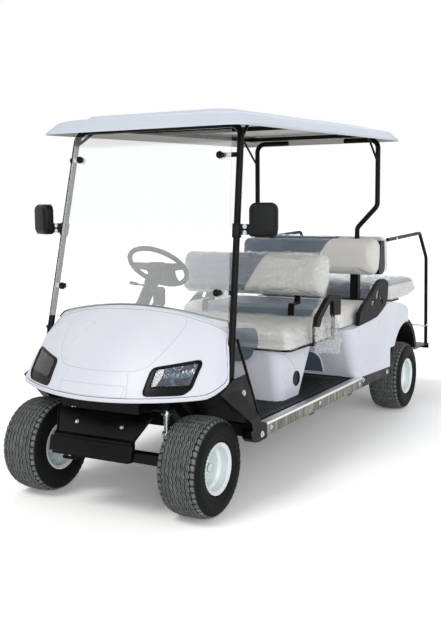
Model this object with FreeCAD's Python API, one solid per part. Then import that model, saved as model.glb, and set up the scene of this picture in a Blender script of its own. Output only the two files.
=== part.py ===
"""Six-seat golf cart: two forward-facing benches, one rear-facing bench, roof on bent-tube posts.

Frame while modelling: X to the cart's left, Y backwards from the front axle, Z up from the ground.
Every piece is moved by ROW_SHIFT at export, so that the row's origin is on the ground under the
middle of the cart's length.  Millimetres throughout.
"""
import FreeCAD, Part
import math
import os

V = FreeCAD.Vector

# ---------------------------------------------------------------- driving dimensions
WHEELBASE = 2500.0
FRONT_OVERHANG = 245.1          # front axle to the nose of the cowl
REAR_OVERHANG = 830.0           # rear axle to the back edge of the footplate
OVERALL_LENGTH = FRONT_OVERHANG + WHEELBASE + REAR_OVERHANG
ROW_SHIFT = V(0, FRONT_OVERHANG - OVERALL_LENGTH / 2, 0)

FRONT_TRACK = 880.0
REAR_TRACK = 985.0
TYRE_R = 228.5                  # 18 in tyre
TYRE_HALF = 108.0               # 8.5 in tyre
RIM_R = 118.0                   # flange radius of the 8 in rim
RIM_HALF = 97.0
AXLE_Z = TYRE_R
KINGPIN_X = 305.0
SPINDLE_R = 15.0
RUNNING_GAP = 0.05              # radial clearance of a spindle in its hub
BODY_HALF = 595.0               # half width of the rear body
SILL_HALF = 600.0
FLOOR_Z = 360.0                 # top of the floor pan
MAT_T = 6.0
SHEET = 4.0                     # steel sheet
SKIN = 6.0                      # moulded plastic shell
POST_R = 16.0
RAIL_R = 12.5
ROOF_HALF = 570.0
ROOF_FRONT = 155.0
ROOF_REAR = 2400.0
ROOF_EDGE_Z = 1746.0            # lower edge of the roof at its front
ROOF_RISE = 1.1                 # degrees the roof climbs towards the back
HEADER_Z = 1766.0               # centre of the front hoop's top tube
REAR_BAR_Z = 1800.0             # centre of the rear struts' top bars
SEAT_BASE_Z = 655.0             # top of the front seat base
REAR_DECK_Z = 676.0             # top of the rear body under the second bench
REAR_SEAT_Z = 735.0             # underside of the rear-facing cushion
WHEEL_HUB = V(-212.0, 680.0, 1064.6)    # middle of the steering wheel; the driver sits on the cart's right
COLUMN_ANGLE = 50.0             # degrees above level

# front axle and steering
ARM_Y = 105.0                   # steering arm's pin, behind the kingpin
ARM_Z = AXLE_Z - 22.0
ROD_DROP = 20.0                 # tie rod's centre under the arm's centre
STRUT_X = 268.0
STRUT_TOP = 470.0
COLUMN_R = 33.0
COLUMN_LENGTH = 400.0
STAY_R = 11.0
SHAFT_R = 12.0
SHAFT_END = 731.0              # from the wheel's middle down to the toe board
WHEEL_RING_R = 162.0
WHEEL_GRIP_R = 13.5
WHEEL_DISH = 44.0               # ring's plane above the hub's face
SPOKE_PLATE = [(-150, 26), (150, 26), (152, -8), (88, -24), (66, -96), (60, -150),
               (-60, -150), (-66, -96), (-88, -24), (-152, -8)]

# chassis and front end
RAIL_SIDE = [(-150, 470), (-150, 520), (130, 520), (350, 330), (2070, 330), (2200, 470), (2900, 470),
             (2900, 420), (2225, 420), (2095, 262), (330, 262), (110, 470)]
RAIL_IN, RAIL_OUT = 165.0, 215.0
SILL_FRONT, SILL_REAR = 350.0, 1624.0
SILL_LOW, SILL_TOP = 308.0, 370.0
SILL_T = 6.0
LEG_NOTCH = (515.0, 150.0)      # toe board cut away for the hoop's legs: from x, up to y
# side outlines of the step bracket: y, z, corner radius
BRACKET_RAIL = [(-18, 566), (60, 601), (104, 621), (283, 402), (290, 372), (204, 366), (196, 396)]
BRACKET_FOOT = [(184, 361), (196, 326, 20), (222, 304, 20), (261, 297, 20), (SILL_FRONT - 0.5, 299, 16),
                (SILL_FRONT - 0.5, 368, 10), (283, 383)]
BRACKET_PLATE = [(92, 602), (120, 616), (214, 622), (338, 404), (330, 376), (270, 376)]
BRACKET_IN, BRACKET_OUT = 552.0, 604.0
# front outline of the step bracket, whose outer side leans in behind the cowl: x, z
BRACKET_LEAN = [(500, 250), (BRACKET_OUT, 250), (BRACKET_OUT, 420), (562, 560), (562, 700), (500, 700)]
# plan sections of the cowl: z, nose y, half width, corner radius
COWL_SECTIONS = [
    (500.0, -262.0, 570.0, 220.0),
    (560.0, -232.0, 572.0, 250.0),
    (660.0, -164.0, 568.0, 270.0),
    (760.0, -74.0, 560.0, 290.0),
    (850.0, 36.0, 548.0, 300.0),
    (935.0, 190.0, 540.0, 300.0),
]
# back edge of the cowl seen from the side: y, z
COWL_BACK_EDGE = [(36, 560), (57, 610), (95, 700), (137, 775), (212, 862), (214, 960)]
COWL_BACK = 214.0
NOSE_RADIUS = 900.0
LIP_RADIUS = 6500.0             # sag of the lower lip, seen from the front
LIP_Z = 536.0
CROWN_RADIUS = 1900.0           # arch of the top edge
CROWN_Z = 921.0
# front outlines of the left lamp: x, z, corner radius
LAMP = [(262, 679, 26), (463, 716, 20), (456, 600, 40), (430, 572, 40), (258, 566, 18)]
LENS = [(286, 673, 16), (449, 703, 10), (440, 612), (286, 603, 8)]
BUMPER_HOLE_X = 126.0
BUMPER_HOLE_Y = -152.0
BUMPER_HOLE_Z = 405.0
BUMPER_HOLE_R = 5.5
CUP_X = (-60.0, 60.0)
CUP_Y = 330.0
CUP_R = 39.0
CUP_FLOOR = 776.0
DASH_TOP = 848.0
TRAYS = ((-380.0, -300.0), (290.0, 380.0), (130.0, 270.0))     # x from, to
TRAY_FRONT, TRAY_BACK, TRAY_FLOOR = 285.0, 385.0, 788.0
DASH_REAR = 418.0
DASH_FRONT_HALF = 430.0
DASH_BACK_HALF = 400.0

# roof
ROOF_LEVELS = [(0, 0), (5, 12), (48, 56), (75, 66), (150, 76), (162, 88), (330, 101)]   # inset, height
CEILING_LEVELS = [(SKIN, -1), (SKIN + 5, 11), (SKIN + 46, 50), (SKIN + 150, 64)]
ROOF_CORNER = 90.0
ROOF_BAR_T = 24.0
ROOF_BAR_Z = ROOF_EDGE_Z + 40.0
ROOF_RAIL_X = 445.0
HOOP_X = 535.0                  # half width of the hoop at its feet
GLASS_Y0, GLASS_SLOPE = 166.0, 0.184     # the sheet's front face at GLASS_Z0, and its lean
GLASS_Z0 = 997.0
GLASS_T = 5.0
GLASS_TOP = 1738.0
GLASS_EDGE = [(-514, 847), (-470, 849), (-430, 872), (-250, 905), (0, 918), (250, 905), (430, 872),
              (470, 849), (514, 847), (449, GLASS_TOP), (-449, GLASS_TOP)]       # x, z
KNOBS = [(403, 1622), (445, 997)]                        # x, z
MIRROR_TURN = 23.0              # degrees the head is turned outwards

# bodies and seats
DECK_T = 12.0
POD_HALF = 462.0
PORT_YZ = (985, 462)            # round recess in each side of the pod
ARCH_YZ = (WHEELBASE - 50, 334)
ARCH_R = 271.0
WELL_IN = 360.0                 # wheel wells start at this half width
SEAT_WELL = (566.0, 1300.0, 2030.0, REAR_DECK_Z + 6)    # half width, y from, y to, floor height
# side outline of the rear body: y, z, corner radius
BODY_SIDE = [(1300, 382), (2135, 353), (2135, 474), (2612, 474), (2600, 560), (2560, 640, 60),
             (2470, 706, 100), (2330, 744, 100), (2200, 762, 60), (2090, 768, 40), (2043, 757),
             (1974, 729, 60), (1884, 700, 60), (1732, 688), (1430, 672), (1300, 668)]
BODY_HOLLOW = [(1200, 100), (2604, 100), (2604, 474), (2592, 558), (2553.6, 635, 52), (2466, 698.8, 92),
               (2328, 736, 92), (2199, 754, 52), (2091, 760, 32), (2046, 749), (1977, 721, 60),
               (1886, 692, 60), (1732.4, 680), (1430, 664), (1200, 660)]
SEAT_HALF = 560.0
BACK_HALF = 500.0
FRONT_BACK_HALF = 484.0
# side outlines of the hip guards: y, z, corner radius
FRONT_GUARD = [(964, 750, 8), (974, 797, 12), (1120, 888, 40), (1180, 902, 20), (1274, 893, 14),
               (1296, 876, 12), (1294, 780, 6), (1200, 786, 6), (1196, 862, 12), (1158, 872, 14),
               (1034, 790, 14), (1006, 745, 8)]
SECOND_GUARD = [(1580, 681.5), (1732, 690), (1884, 703), (1974, 732.5), (2043, 760.5), (2078, 812, 20),
                (2086, 900, 20), (2013, 925, 30), (1944, 922, 20), (1878, 897, 40), (1771, 838, 40),
                (1666, 795, 30), (1595, 751, 14)]
GUARD_SLOTS = [
    [(1852, 808, 6), (1878, 862, 6), (1924, 868, 6), (1904, 816, 6)],
    [(1776, 780, 6), (1802, 816, 6), (1848, 812, 6), (1822, 778, 6)],
    [(1922, 828, 3), (1944, 828, 3), (1992, 782, 3), (1974, 768, 3)],
]
# hollow behind the second guard's face
GUARD_HOLLOW = [(1700, 716), (1884, 728), (1962, 752), (2030, 780, 10), (2060, 816, 16), (2068, 888, 14),
                (2010, 908, 20), (1946, 905, 20), (1884, 882, 30), (1778, 824, 30), (1700, 790, 10)]
GUARD_FACE = 6.0
GUARD_T = 26.0
GUARD_X = 566.0
STEP_Z = 330.0                  # underside of the rear footplate
STEP_END = WHEELBASE + REAR_OVERHANG
STEP_HALF = 492.0
GRAB_RAIL_X = 475.0

os.makedirs("parts", exist_ok=True)
NODES = {}


# ---------------------------------------------------------------- small helpers
def box(x0, x1, y0, y1, z0, z1):
    return Part.makeBox(x1 - x0, y1 - y0, z1 - z0, V(x0, y0, z0))


def rod(start, end, radius):
    start, end = V(*start), V(*end)
    return Part.makeCylinder(radius, (end - start).Length, start, end - start)


def mirrored(shape):
    return shape.mirror(V(0, 0, 0), V(1, 0, 0))


def both_sides(shape):
    return [shape, mirrored(shape)]


def fuse(*shapes):
    return shapes[0].fuse(list(shapes[1:])).removeSplitter()


def outline(points, closed=True):
    """Wire of straight edges with tangent arcs.  Each point is (x, y, z, corner radius)."""
    spots = [V(*p[:3]) for p in points]
    radii = [p[3] if len(p) > 3 else 0 for p in points]
    n = len(spots)
    entry, leave, middle = [], [], []
    for i, (p, r) in enumerate(zip(spots, radii)):
        if r and (closed or 0 < i < n - 1):
            to_prev = (spots[i - 1] - p).normalize()
            to_next = (spots[(i + 1) % n] - p).normalize()
            half = to_prev.getAngle(to_next) / 2
            run = r / math.tan(half)
            bisector = (to_prev + to_next).normalize()
            entry.append(p + to_prev * run)
            leave.append(p + to_next * run)
            middle.append(p + bisector * (r / math.sin(half) - r))
        else:
            entry.append(p)
            leave.append(p)
            middle.append(None)
    edges = []
    for i in range(n):
        if middle[i] is not None:
            edges.append(Part.Arc(entry[i], middle[i], leave[i]).toShape())
        if i < n - 1 or closed:
            a, b = leave[i], entry[(i + 1) % n]
            if (b - a).Length > 1e-6:
                edges.append(Part.LineSegment(a, b).toShape())
    return Part.Wire(edges)


def side_prism(points, x0, x1):
    """Side outline (y, z, radius) extruded across the cart from x0 to x1."""
    wire = outline([(x0, y, z, *r) for y, z, *r in points])
    return Part.Face(wire).extrude(V(x1 - x0, 0, 0))


def plan_prism(points, z0, z1):
    """Plan outline (x, y, radius) extruded up from z0 to z1."""
    wire = outline([(x, y, z0, *r) for x, y, *r in points])
    return Part.Face(wire).extrude(V(0, 0, z1 - z0))


def front_prism(points, y0, y1):
    """Front outline (x, z, radius) extruded back from y0 to y1."""
    wire = outline([(x, y0, z, *r) for x, z, *r in points])
    return Part.Face(wire).extrude(V(0, y1 - y0, 0))


def bent_tube(points, radius):
    """Round bar along straight runs joined by bends.  Each point is (x, y, z, bend radius)."""
    path = outline(points, closed=False)
    first, second = V(*points[0][:3]), V(*points[1][:3])
    ring = Part.Wire(Part.makeCircle(radius, first, second - first))
    return path.makePipeShell([ring], True, False, 2)


def revolved(profile, centre_x):
    """Solid of revolution about the wheel's axis.  The profile is (offset along X, radius, fillet)."""
    wire = outline([(centre_x + a, 0, AXLE_Z + r, *f) for a, r, *f in profile])
    return Part.Face(wire).revolve(V(centre_x, 0, AXLE_Z), V(1, 0, 0), 360)


def keep(name, *solids):
    """Stores a node; a node may hold several like solids that do not touch."""
    shapes = [s for shape in solids for s in (shape if isinstance(shape, list) else [shape])]
    NODES[name] = Part.makeCompound([s for shape in shapes for s in shape.Solids])


# ---------------------------------------------------------------- wheels
def tyre(centre_x, axle_y):
    """Balloon tyre: a carcass open towards the rim."""
    half, r = TYRE_HALF, TYRE_R
    wall, bead = 9.0, RIM_R - 13.0
    outer = [(-86.8, bead), (-91.2, 119), (-97.2, 125, 4), (-half, 168, 55), (-92, 214, 16), (-60, r, 90),
             (60, r, 90), (92, 214, 16), (half, 168, 55), (97.2, 125, 4), (91.2, 119), (86.8, bead)]
    inner = [(78, bead), (82, 122, 6), (half - wall, 168, 48), (84, 205, 12),
             (-84, 205, 12), (-(half - wall), 168, 48), (-82, 122, 6), (-78, bead)]
    ring = revolved(outer + inner, centre_x)
    return ring.translated(V(0, axle_y, 0))


def rim(centre_x, axle_y, out, driven):
    """Pressed steel wheel with its hub; out is the outboard direction, +1 or -1."""
    disc, t = -18.0, 5.0
    hub_nose = 40.0 if not driven else 12.0
    barrel = [(-RIM_HALF, RIM_R), (-RIM_HALF + 5, RIM_R), (-RIM_HALF + 9, 104.5, 3), (-52, 104.5, 5),
              (-40, 92, 5), (40, 92, 5), (52, 104.5, 5), (RIM_HALF - 9, 104.5, 3), (RIM_HALF - 5, RIM_R),
              (RIM_HALF, RIM_R), (RIM_HALF, 112, 2), (RIM_HALF - 7, 99.5, 3), (54, 99.5, 5), (42, 87, 5),
              (disc + t, 87), (disc + t, 62), (disc + 16, 56), (disc + 16, 36),
              (hub_nose, 33, 4), (hub_nose + 8, 26, 4), (hub_nose + 8, 0.0)]
    back = [(hub_nose, 0.0), (hub_nose, SPINDLE_R + RUNNING_GAP), (-52, SPINDLE_R + RUNNING_GAP),
            (-52, 44), (disc, 62), (disc, 87), (-42, 87, 5), (-54, 99.5, 5), (-RIM_HALF + 7, 99.5, 3),
            (-RIM_HALF, 112, 2)]
    profile = [(a * out, r, *f) for a, r, *f in barrel + back]
    wheel = revolved(profile, centre_x)
    studs = [V(0, 50.8 * math.cos(a), 50.8 * math.sin(a)) for a in (math.pi * k / 2 for k in range(4))]
    for s in studs:
        base = V(centre_x + out * (disc + 16), s.y, AXLE_Z + s.z)
        nut = Part.makeCylinder(8.0, 14.0, base - V(out * 10, 0, 0), V(out, 0, 0))
        wheel = wheel.fuse(nut)
    return wheel.removeSplitter().translated(V(0, axle_y, 0))


def wheels():
    table = [  # name, track, axle station, driven
        ("front", FRONT_TRACK, 0.0, False),
        ("rear", REAR_TRACK, WHEELBASE, True),
    ]
    for end, track, axle_y, driven in table:
        for side, out in (("left", 1), ("right", -1)):
            keep(f"{end}_{side}_tyre", tyre(out * track / 2, axle_y))
            keep(f"{end}_{side}_rim", rim(out * track / 2, axle_y, out, driven))


# ---------------------------------------------------------------- front axle and steering


def knuckle(out):
    """Kingpin barrel, spindle and steering arm, turning about the kingpin."""
    pin_x = out * KINGPIN_X
    barrel = rod((pin_x, 0, AXLE_Z - 38), (pin_x, 0, AXLE_Z + 38), 19)
    bore = rod((pin_x, 0, AXLE_Z - 40), (pin_x, 0, AXLE_Z + 40), 9 + RUNNING_GAP)
    tip_x = out * (FRONT_TRACK / 2 + 32)
    spindle = rod((pin_x + out * 10, 0, AXLE_Z), (tip_x, 0, AXLE_Z), SPINDLE_R)
    shoulder = rod((pin_x + out * 8, 0, AXLE_Z), (pin_x + out * 60, 0, AXLE_Z), 24)
    arm = side_prism([(10, ARM_Z - 6), (ARM_Y + 12, ARM_Z - 6), (ARM_Y + 12, ARM_Z + 6), (10, ARM_Z + 6)],
                     pin_x - 13, pin_x + 13)
    body = fuse(barrel, spindle, shoulder, arm)
    return body.cut(bore)


def front_axle():
    """Beam between the kingpins with a fork at each end, and the spring struts that carry the frame."""
    beam = box(-252, 252, -24, 24, AXLE_Z - 24, AXLE_Z + 24)
    ears = []
    for out in (1, -1):
        x0, x1 = sorted((out * 246, out * (KINGPIN_X + 22)))
        ears += [box(x0, x1, -22, 22, AXLE_Z + 43, AXLE_Z + 57),
                 box(x0, x1, -22, 22, AXLE_Z - 57, AXLE_Z - 43)]
        x0, x1 = sorted((out * 240, out * 262))
        ears.append(box(x0, x1, -22, 22, AXLE_Z - 57, AXLE_Z + 57))
        ears.append(rod((out * KINGPIN_X, 0, AXLE_Z - 57), (out * KINGPIN_X, 0, AXLE_Z + 57), 9))
    keep("front_axle", fuse(beam, *ears))
    foot = AXLE_Z + 57.5
    sections = [(foot, 345, 21), (345, 456, 15), (356, 366, 24), (446, 456, 24), (456, STRUT_TOP, 12)]
    strut = fuse(*[rod((STRUT_X, 0, z0), (STRUT_X, 0, z1), r) for z0, z1, r in sections])
    keep("front_struts", *both_sides(strut))


def steering():
    keep("left_knuckle", knuckle(1))
    keep("right_knuckle", knuckle(-1))
    rod_z = ARM_Z - ROD_DROP
    keep("tie_rod", rod((-KINGPIN_X, ARM_Y, rod_z), (KINGPIN_X, ARM_Y, rod_z), 8))


def steering_axes():
    """Unit vectors along the column towards the driver, across the cart, and up the wheel."""
    lean = V(0, math.cos(math.radians(COLUMN_ANGLE)), math.sin(math.radians(COLUMN_ANGLE)))
    across = V(1, 0, 0)
    return lean, across, across.cross(lean)


def steering_column():
    """Shrouded column from behind the dash to the wheel, with its stalk and a bent stay."""
    lean = steering_axes()[0]
    top = WHEEL_HUB - lean * (WHEEL_DISH + 8)
    shroud = Part.makeCylinder(COLUMN_R, COLUMN_LENGTH, top - lean * COLUMN_LENGTH, lean)
    collar = Part.makeCylinder(COLUMN_R + 5, 60, top - lean * 62, lean)
    root = top - lean * 75
    bend = root + V(-92, 12, 6)
    stalk = fuse(rod(tuple(root), tuple(bend), 4.5), rod(tuple(bend), tuple(bend + V(-46, 4, 6)), 9))
    hook = top - lean * 112
    stay = bent_tube([(*hook, 0), (*(hook + V(84, -4, 3)), 22), (*(hook + V(92, -104, -82)), 0)], STAY_R)
    shaft = Part.makeCylinder(SHAFT_R, SHAFT_END - 440, WHEEL_HUB - lean * SHAFT_END, lean)
    keep("steering_column", fuse(shroud, shaft, collar, stalk, stay))


def steering_wheel():
    """Ring, spoke plate with its centre pad, and the hub boss, all turning together."""
    lean, across, up = steering_axes()
    ring = Part.makeTorus(WHEEL_RING_R, WHEEL_GRIP_R, WHEEL_HUB, lean)
    boss = Part.makeCylinder(30, WHEEL_DISH, WHEEL_HUB - lean * (WHEEL_DISH + 2), lean)
    corners = [WHEEL_HUB - lean * 9 + across * a + up * b for a, b in SPOKE_PLATE]
    plate = Part.Face(Part.makePolygon(corners + [corners[0]])).extrude(lean * 16)
    clip = Part.makeBox(88, 30, 12, V(-44, 0, 0))
    clip.Placement = FreeCAD.Placement(WHEEL_HUB + lean * 4 + up * 22, FreeCAD.Rotation(across, up, lean))
    keep("steering_wheel", fuse(ring, plate, boss, clip))


# ---------------------------------------------------------------- chassis


def main_frame():
    """Two box rails that rise over both axles, joined by cross members, with side rails behind."""
    keep("frame_rails", *both_sides(side_prism(RAIL_SIDE, RAIL_IN, RAIL_OUT)))
    crosses = [  # y from, y to, z from, z to
        (-150, -100, 475, 515),
        (60, 100, 475, 515),
        (430, 480, 265, 325),
        (1000, 1050, 265, 325),
        (1560, 1610, 265, 325),
        (2240, 2290, 424, 466),
        (2850, 2900, 424, 466),
    ]
    keep("frame_cross_members", *[box(-RAIL_IN, RAIL_IN, *c) for c in crosses])
    outriggers = [box(RAIL_OUT, 540, y, y + 50, 265, 325) for y in (430, 1000, 1560)]
    outriggers.append(box(RAIL_OUT, STRUT_X + 26, -26, 26, STRUT_TOP + 0.5, 505))
    keep("frame_outriggers", *[b for o in outriggers for b in both_sides(o)])
    rail = side_prism([(1625, 369.2), (2130, 351.6), (2130, 303), (1625, 303)], 540, 590)
    keep("rear_side_rails", *both_sides(fuse(rail, box(RAIL_OUT, 541, 2020, 2066, 303, 329))))
    t = SILL_T
    wall = box(SILL_HALF - t, SILL_HALF, SILL_FRONT, SILL_REAR, SILL_LOW, SILL_TOP)
    lip = box(SILL_HALF - 40, SILL_HALF, SILL_FRONT, SILL_REAR, SILL_TOP - t, SILL_TOP)
    foot = box(540.5, SILL_HALF, SILL_FRONT, SILL_REAR, SILL_LOW, SILL_LOW + t)
    sill = fuse(wall, lip, foot).cut(box(500, 700, 1575, 1700, 369.2, 400))
    keep("side_sills", *both_sides(sill))


def floor():
    """Pan with its sloped toe board, and the rubber mat on it."""
    t, top, m = SHEET, FLOOR_Z, MAT_T
    pan = side_prism([(80, 600), (356, top - t), (1640, top - t), (1640, top), (358, top), (84, 604)],
                     -538, 538)
    mat = side_prism([(106.6, 584.3), (358.2, top + 0.2), (1585, top + 0.2), (1585, top + m), (361, top + m),
                      (110.6, 588.8)], -534, 534)
    for x0, x1 in ((LEG_NOTCH[0], 600), (-600, -LEG_NOTCH[0])):
        notch = box(x0, x1, 0, LEG_NOTCH[1], 400, 700)
        pan = pan.cut(notch)
        mat = mat.cut(notch)
    keep("floor_pan", pan)
    keep("floor_mat", mat)


def step_brackets():
    """Sloped box, gusset plate, foot and thin stay that carry each front post."""
    solids = []
    for out in (1, -1):
        def slab(points, x0, x1):
            return side_prism(points, *sorted((out * x0, out * x1)))
        box_section = slab(BRACKET_RAIL, BRACKET_IN, BRACKET_OUT)
        box_section = box_section.common(front_prism([(out * x, z) for x, z in BRACKET_LEAN], -100, 400))
        foot = slab(BRACKET_FOOT, BRACKET_IN, BRACKET_OUT)
        plate = slab(BRACKET_PLATE, BRACKET_IN + 4, BRACKET_IN + 10)
        stay = rod((out * 549.5, 157, 790), (out * 562, 340, 408), 7)
        solids.append(fuse(box_section, foot, plate, stay))
    keep("step_brackets", *solids)


def cowl_section(z, nose, half, corner, inset):
    """Plan of the cowl at one height: a broad nose arc, two tangent corner arcs, sides and back."""
    nose, half = nose + inset, half - inset
    r1, r2 = NOSE_RADIUS - inset, corner - inset
    back = COWL_BACK + 420.0
    cx = half - r2
    cy = nose + r1 - math.sqrt((r1 - r2) ** 2 - cx ** 2)
    reach = V(cx, cy - (nose + r1), 0).normalize()
    touch = V(0, nose + r1, 0) + reach * r1
    mid_angle = math.atan2(touch.y - cy, touch.x - cx) / 2
    mid = V(cx + r2 * math.cos(mid_angle), cy + r2 * math.sin(mid_angle), 0)
    side, end = V(half, cy, 0), V(half, back, 0)
    lift = V(0, 0, z)

    def left(p):
        return V(-p.x, p.y, p.z)
    return Part.Wire([
        Part.LineSegment(left(end) + lift, left(side) + lift).toShape(),
        Part.Arc(left(side) + lift, left(mid) + lift, left(touch) + lift).toShape(),
        Part.Arc(left(touch) + lift, V(0, nose, z), touch + lift).toShape(),
        Part.Arc(touch + lift, mid + lift, side + lift).toShape(),
        Part.LineSegment(side + lift, end + lift).toShape(),
        Part.LineSegment(end + lift, left(end) + lift).toShape(),
    ])


def cowl_solid(inset):
    return Part.makeLoft([cowl_section(z, n, h, r, inset) for z, n, h, r in COWL_SECTIONS], True, False)


def front_cowl():
    """One moulded shell: lip rising to the sides, crown cut to a low arch, and lamp openings."""
    shell = cowl_solid(0).cut(cowl_solid(SKIN))
    trim = [(-400, 480), (20, 480)] + COWL_BACK_EDGE[:-1] + [(COWL_BACK, 935), (-400, 935)]
    shell = shell.common(side_prism(trim, -600, 600))
    shell = shell.common(Part.makeCylinder(LIP_RADIUS, 900, V(0, -500, LIP_Z + LIP_RADIUS), V(0, 1, 0)))
    shell = shell.common(Part.makeCylinder(CROWN_RADIUS, 900, V(0, -500, CROWN_Z - CROWN_RADIUS), V(0, 1, 0)))
    side_lip = [(-400, 505), (-180, 531, 300), (-100, 543, 300), (-20, 570, 300), (150, 646), (150, 400),
                (-400, 400)]
    shell = shell.cut(side_prism(side_lip, -620, 620))
    bezels, panes = [], []
    for out in (1, -1):
        hole = front_prism([(out * x, z, *r) for x, z, *r in LAMP], -400, 160)
        pane = front_prism([(out * x, z, *r) for x, z, *r in LENS], -400, 160)
        face = shell.common(hole)
        bezels.append(face.cut(pane))
        panes.append(face.common(pane))
        shell = shell.cut(hole)
    keep("front_cowl", max(shell.Solids, key=lambda piece: piece.Volume))
    keep("headlamp_bezels", *bezels)
    keep("headlamp_lenses", *panes)


def front_underbody():
    """Black splash panel inside the cowl, from the nose back to the toe board."""
    profile = [(-188, 522), (-100, 566), (78, 602), (78, 606), (-102, 570), (-190, 527)]
    panel = side_prism(profile, -520, 520)
    plan = [(-150, -186), (150, -186), (400, -110, 60), (520, 0, 60), (520, 90), (-520, 90), (-520, 0, 60),
            (-400, -110, 60)]
    keep("front_underbody", panel.common(plan_prism(plan, 500, 640)))


def front_bumper():
    """Folded black panel hung under the cowl, with two accessory bolt holes."""
    face = [(-110, 458), (-192, 362), (-216, 356), (-238, 268), (-196, 262), (-176, 300), (-176, 356),
            (-104, 446)]
    slab = side_prism(face, -270, 270)
    sides = front_prism([(-270, 470), (270, 470), (212, 352), (208, 250), (-208, 250), (-212, 352)], -400, 0)
    slab = slab.common(sides)
    hanger = side_prism([(-104, 446), (-110, 458), (-110, 474.5), (-100, 474.5), (-100, 446)], -160, 160)
    panel = fuse(slab, hanger)
    for x in (-BUMPER_HOLE_X, BUMPER_HOLE_X):
        panel = panel.cut(rod((x, BUMPER_HOLE_Y - 60, BUMPER_HOLE_Z), (x, BUMPER_HOLE_Y + 120, BUMPER_HOLE_Z),
                              BUMPER_HOLE_R))
    keep("front_bumper", panel)


def dash():
    """Moulded dash behind the cowl with two cup holders and three open trays."""
    profile = [(216, DASH_TOP), (250, DASH_TOP), (DASH_REAR, 808, 14), (DASH_REAR, 756, 20), (396, 680, 20),
               (300, 612), (100, 612), (104, 640), (216, 836)]
    hollow = [(196, 776), (380, 769), (406, 755), (384, 690), (294, 620), (112, 620), (112, 640)]
    front, back = DASH_FRONT_HALF, DASH_BACK_HALF
    plan = [(-front, 80), (front, 80), (front, 215), (back, 330), (back, 440, 30), (-back, 440, 30),
            (-back, 330), (-front, 215)]
    panel = side_prism(profile, -front, front).common(plan_prism(plan, 600, 900))
    panel = panel.cut(side_prism(hollow, 8 - back, back - 8))
    for x in CUP_X:
        panel = panel.fuse(rod((x, CUP_Y, CUP_FLOOR - 8), (x, CUP_Y, CUP_FLOOR + 30), CUP_R + 4))
    for x in CUP_X:
        panel = panel.cut(rod((x, CUP_Y, CUP_FLOOR), (x, CUP_Y, DASH_TOP + 5), CUP_R))
    for x0, x1 in TRAYS:
        panel = panel.cut(box(x0, x1, TRAY_FRONT, TRAY_BACK, TRAY_FLOOR, DASH_TOP + 5))
    lean = steering_axes()[0]
    panel = panel.cut(Part.makeCylinder(COLUMN_R + 6, 640, WHEEL_HUB - lean * 640, lean))
    keep("dash_panel", panel.removeSplitter())


def pedals():
    solids = []
    for x, wide in ((-190, 60), (-290, 100)):
        arm = rod((x, 196, 560), (x, 300, 470), 7)
        pad = side_prism([(290, 436), (318, 476), (310, 484), (280, 446)], x - wide / 2, x + wide / 2)
        solids.append(fuse(arm, pad, rod((x - 20, 200, 557), (x + 20, 200, 557), 9)))
    keep("pedals", *solids)


# ---------------------------------------------------------------- roof


def climbing(shape):
    """Tilts a roof piece about the roof's front edge."""
    shape.rotate(V(0, ROOF_FRONT, ROOF_EDGE_Z), V(1, 0, 0), ROOF_RISE)
    return shape


def roof():
    """Moulded roof: a skirt that leans in, a shoulder, a raised middle panel, hollow underneath."""
    def shell(levels, corner):
        wires = []
        for inset, height in levels:
            x, z = ROOF_HALF - inset, ROOF_EDGE_Z + height
            front, back = ROOF_FRONT + inset, ROOF_REAR - inset
            wires.append(outline([(-x, front, z, corner), (x, front, z, corner),
                                  (x, back, z, corner), (-x, back, z, corner)]))
        return Part.makeLoft(wires, True, True)
    panel = shell(ROOF_LEVELS, ROOF_CORNER).cut(shell(CEILING_LEVELS, ROOF_CORNER - SKIN))
    keep("roof_panel", climbing(panel))


def roof_frame():
    """Two rails and two cross bars that carry the roof, climbing with it."""
    z0, z1 = ROOF_BAR_Z - ROOF_BAR_T / 2, ROOF_BAR_Z + ROOF_BAR_T / 2
    rail = box(ROOF_RAIL_X - 15, ROOF_RAIL_X + 15, 376, 2283, z0, z1)
    keep("roof_rails", *[climbing(r) for r in both_sides(rail)])
    inner = ROOF_RAIL_X - 15
    keep("roof_cross_bars", *[climbing(box(-inner, inner, y, y + 34, z0, z1)) for y in (1085, 2185)])


def front_hoop():
    """Bent tube hoop with its rearward braces and the tabs that hold the windshield."""
    half = [(HOOP_X, 117, 505, 0), (HOOP_X, 117, 600, 300), (472, 354, HEADER_Z, 62)]
    path = half + [(-x, y, z, r) for x, y, z, r in reversed(half)]
    frame = bent_tube(path, POST_R)
    pieces = []
    for out in (1, -1):
        pieces.append(rod((out * 476, 345, 1696), (out * 452, 455, 1769), 8))
        for x_in, x_out, y, z in ((403, 483, 281, 1622), (445, 514, 166, 997)):
            x0, x1 = sorted((out * x_in, out * x_out))
            pieces.append(box(x0, x1, y + 14, y + 22, z - 11, z + 11))
            pieces.append(rod((out * (x_out - 4), y + 14, z), (out * (x_out - 4), y + 40, z), 7))
    keep("front_hoop", fuse(frame, *pieces))


def rear_struts():
    """Two bent struts from the shell between the backs up to the roof, turned in under the rear cross bar."""
    struts = []
    for out in (1, -1):
        path = [(out * 313, 2268, 1152, 0), (out * 313, 2268, 1232, 50), (out * 438, 2302, 1375, 60),
                (out * 438, 2302, REAR_BAR_Z, 55), (out * 205, 2302, REAR_BAR_Z)]
        brace = rod((out * 438, 2292, 1660), (out * 440, 2115, 1805), 7)
        struts.append(fuse(bent_tube(path, POST_R), brace))
    keep("rear_struts", *struts)


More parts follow.
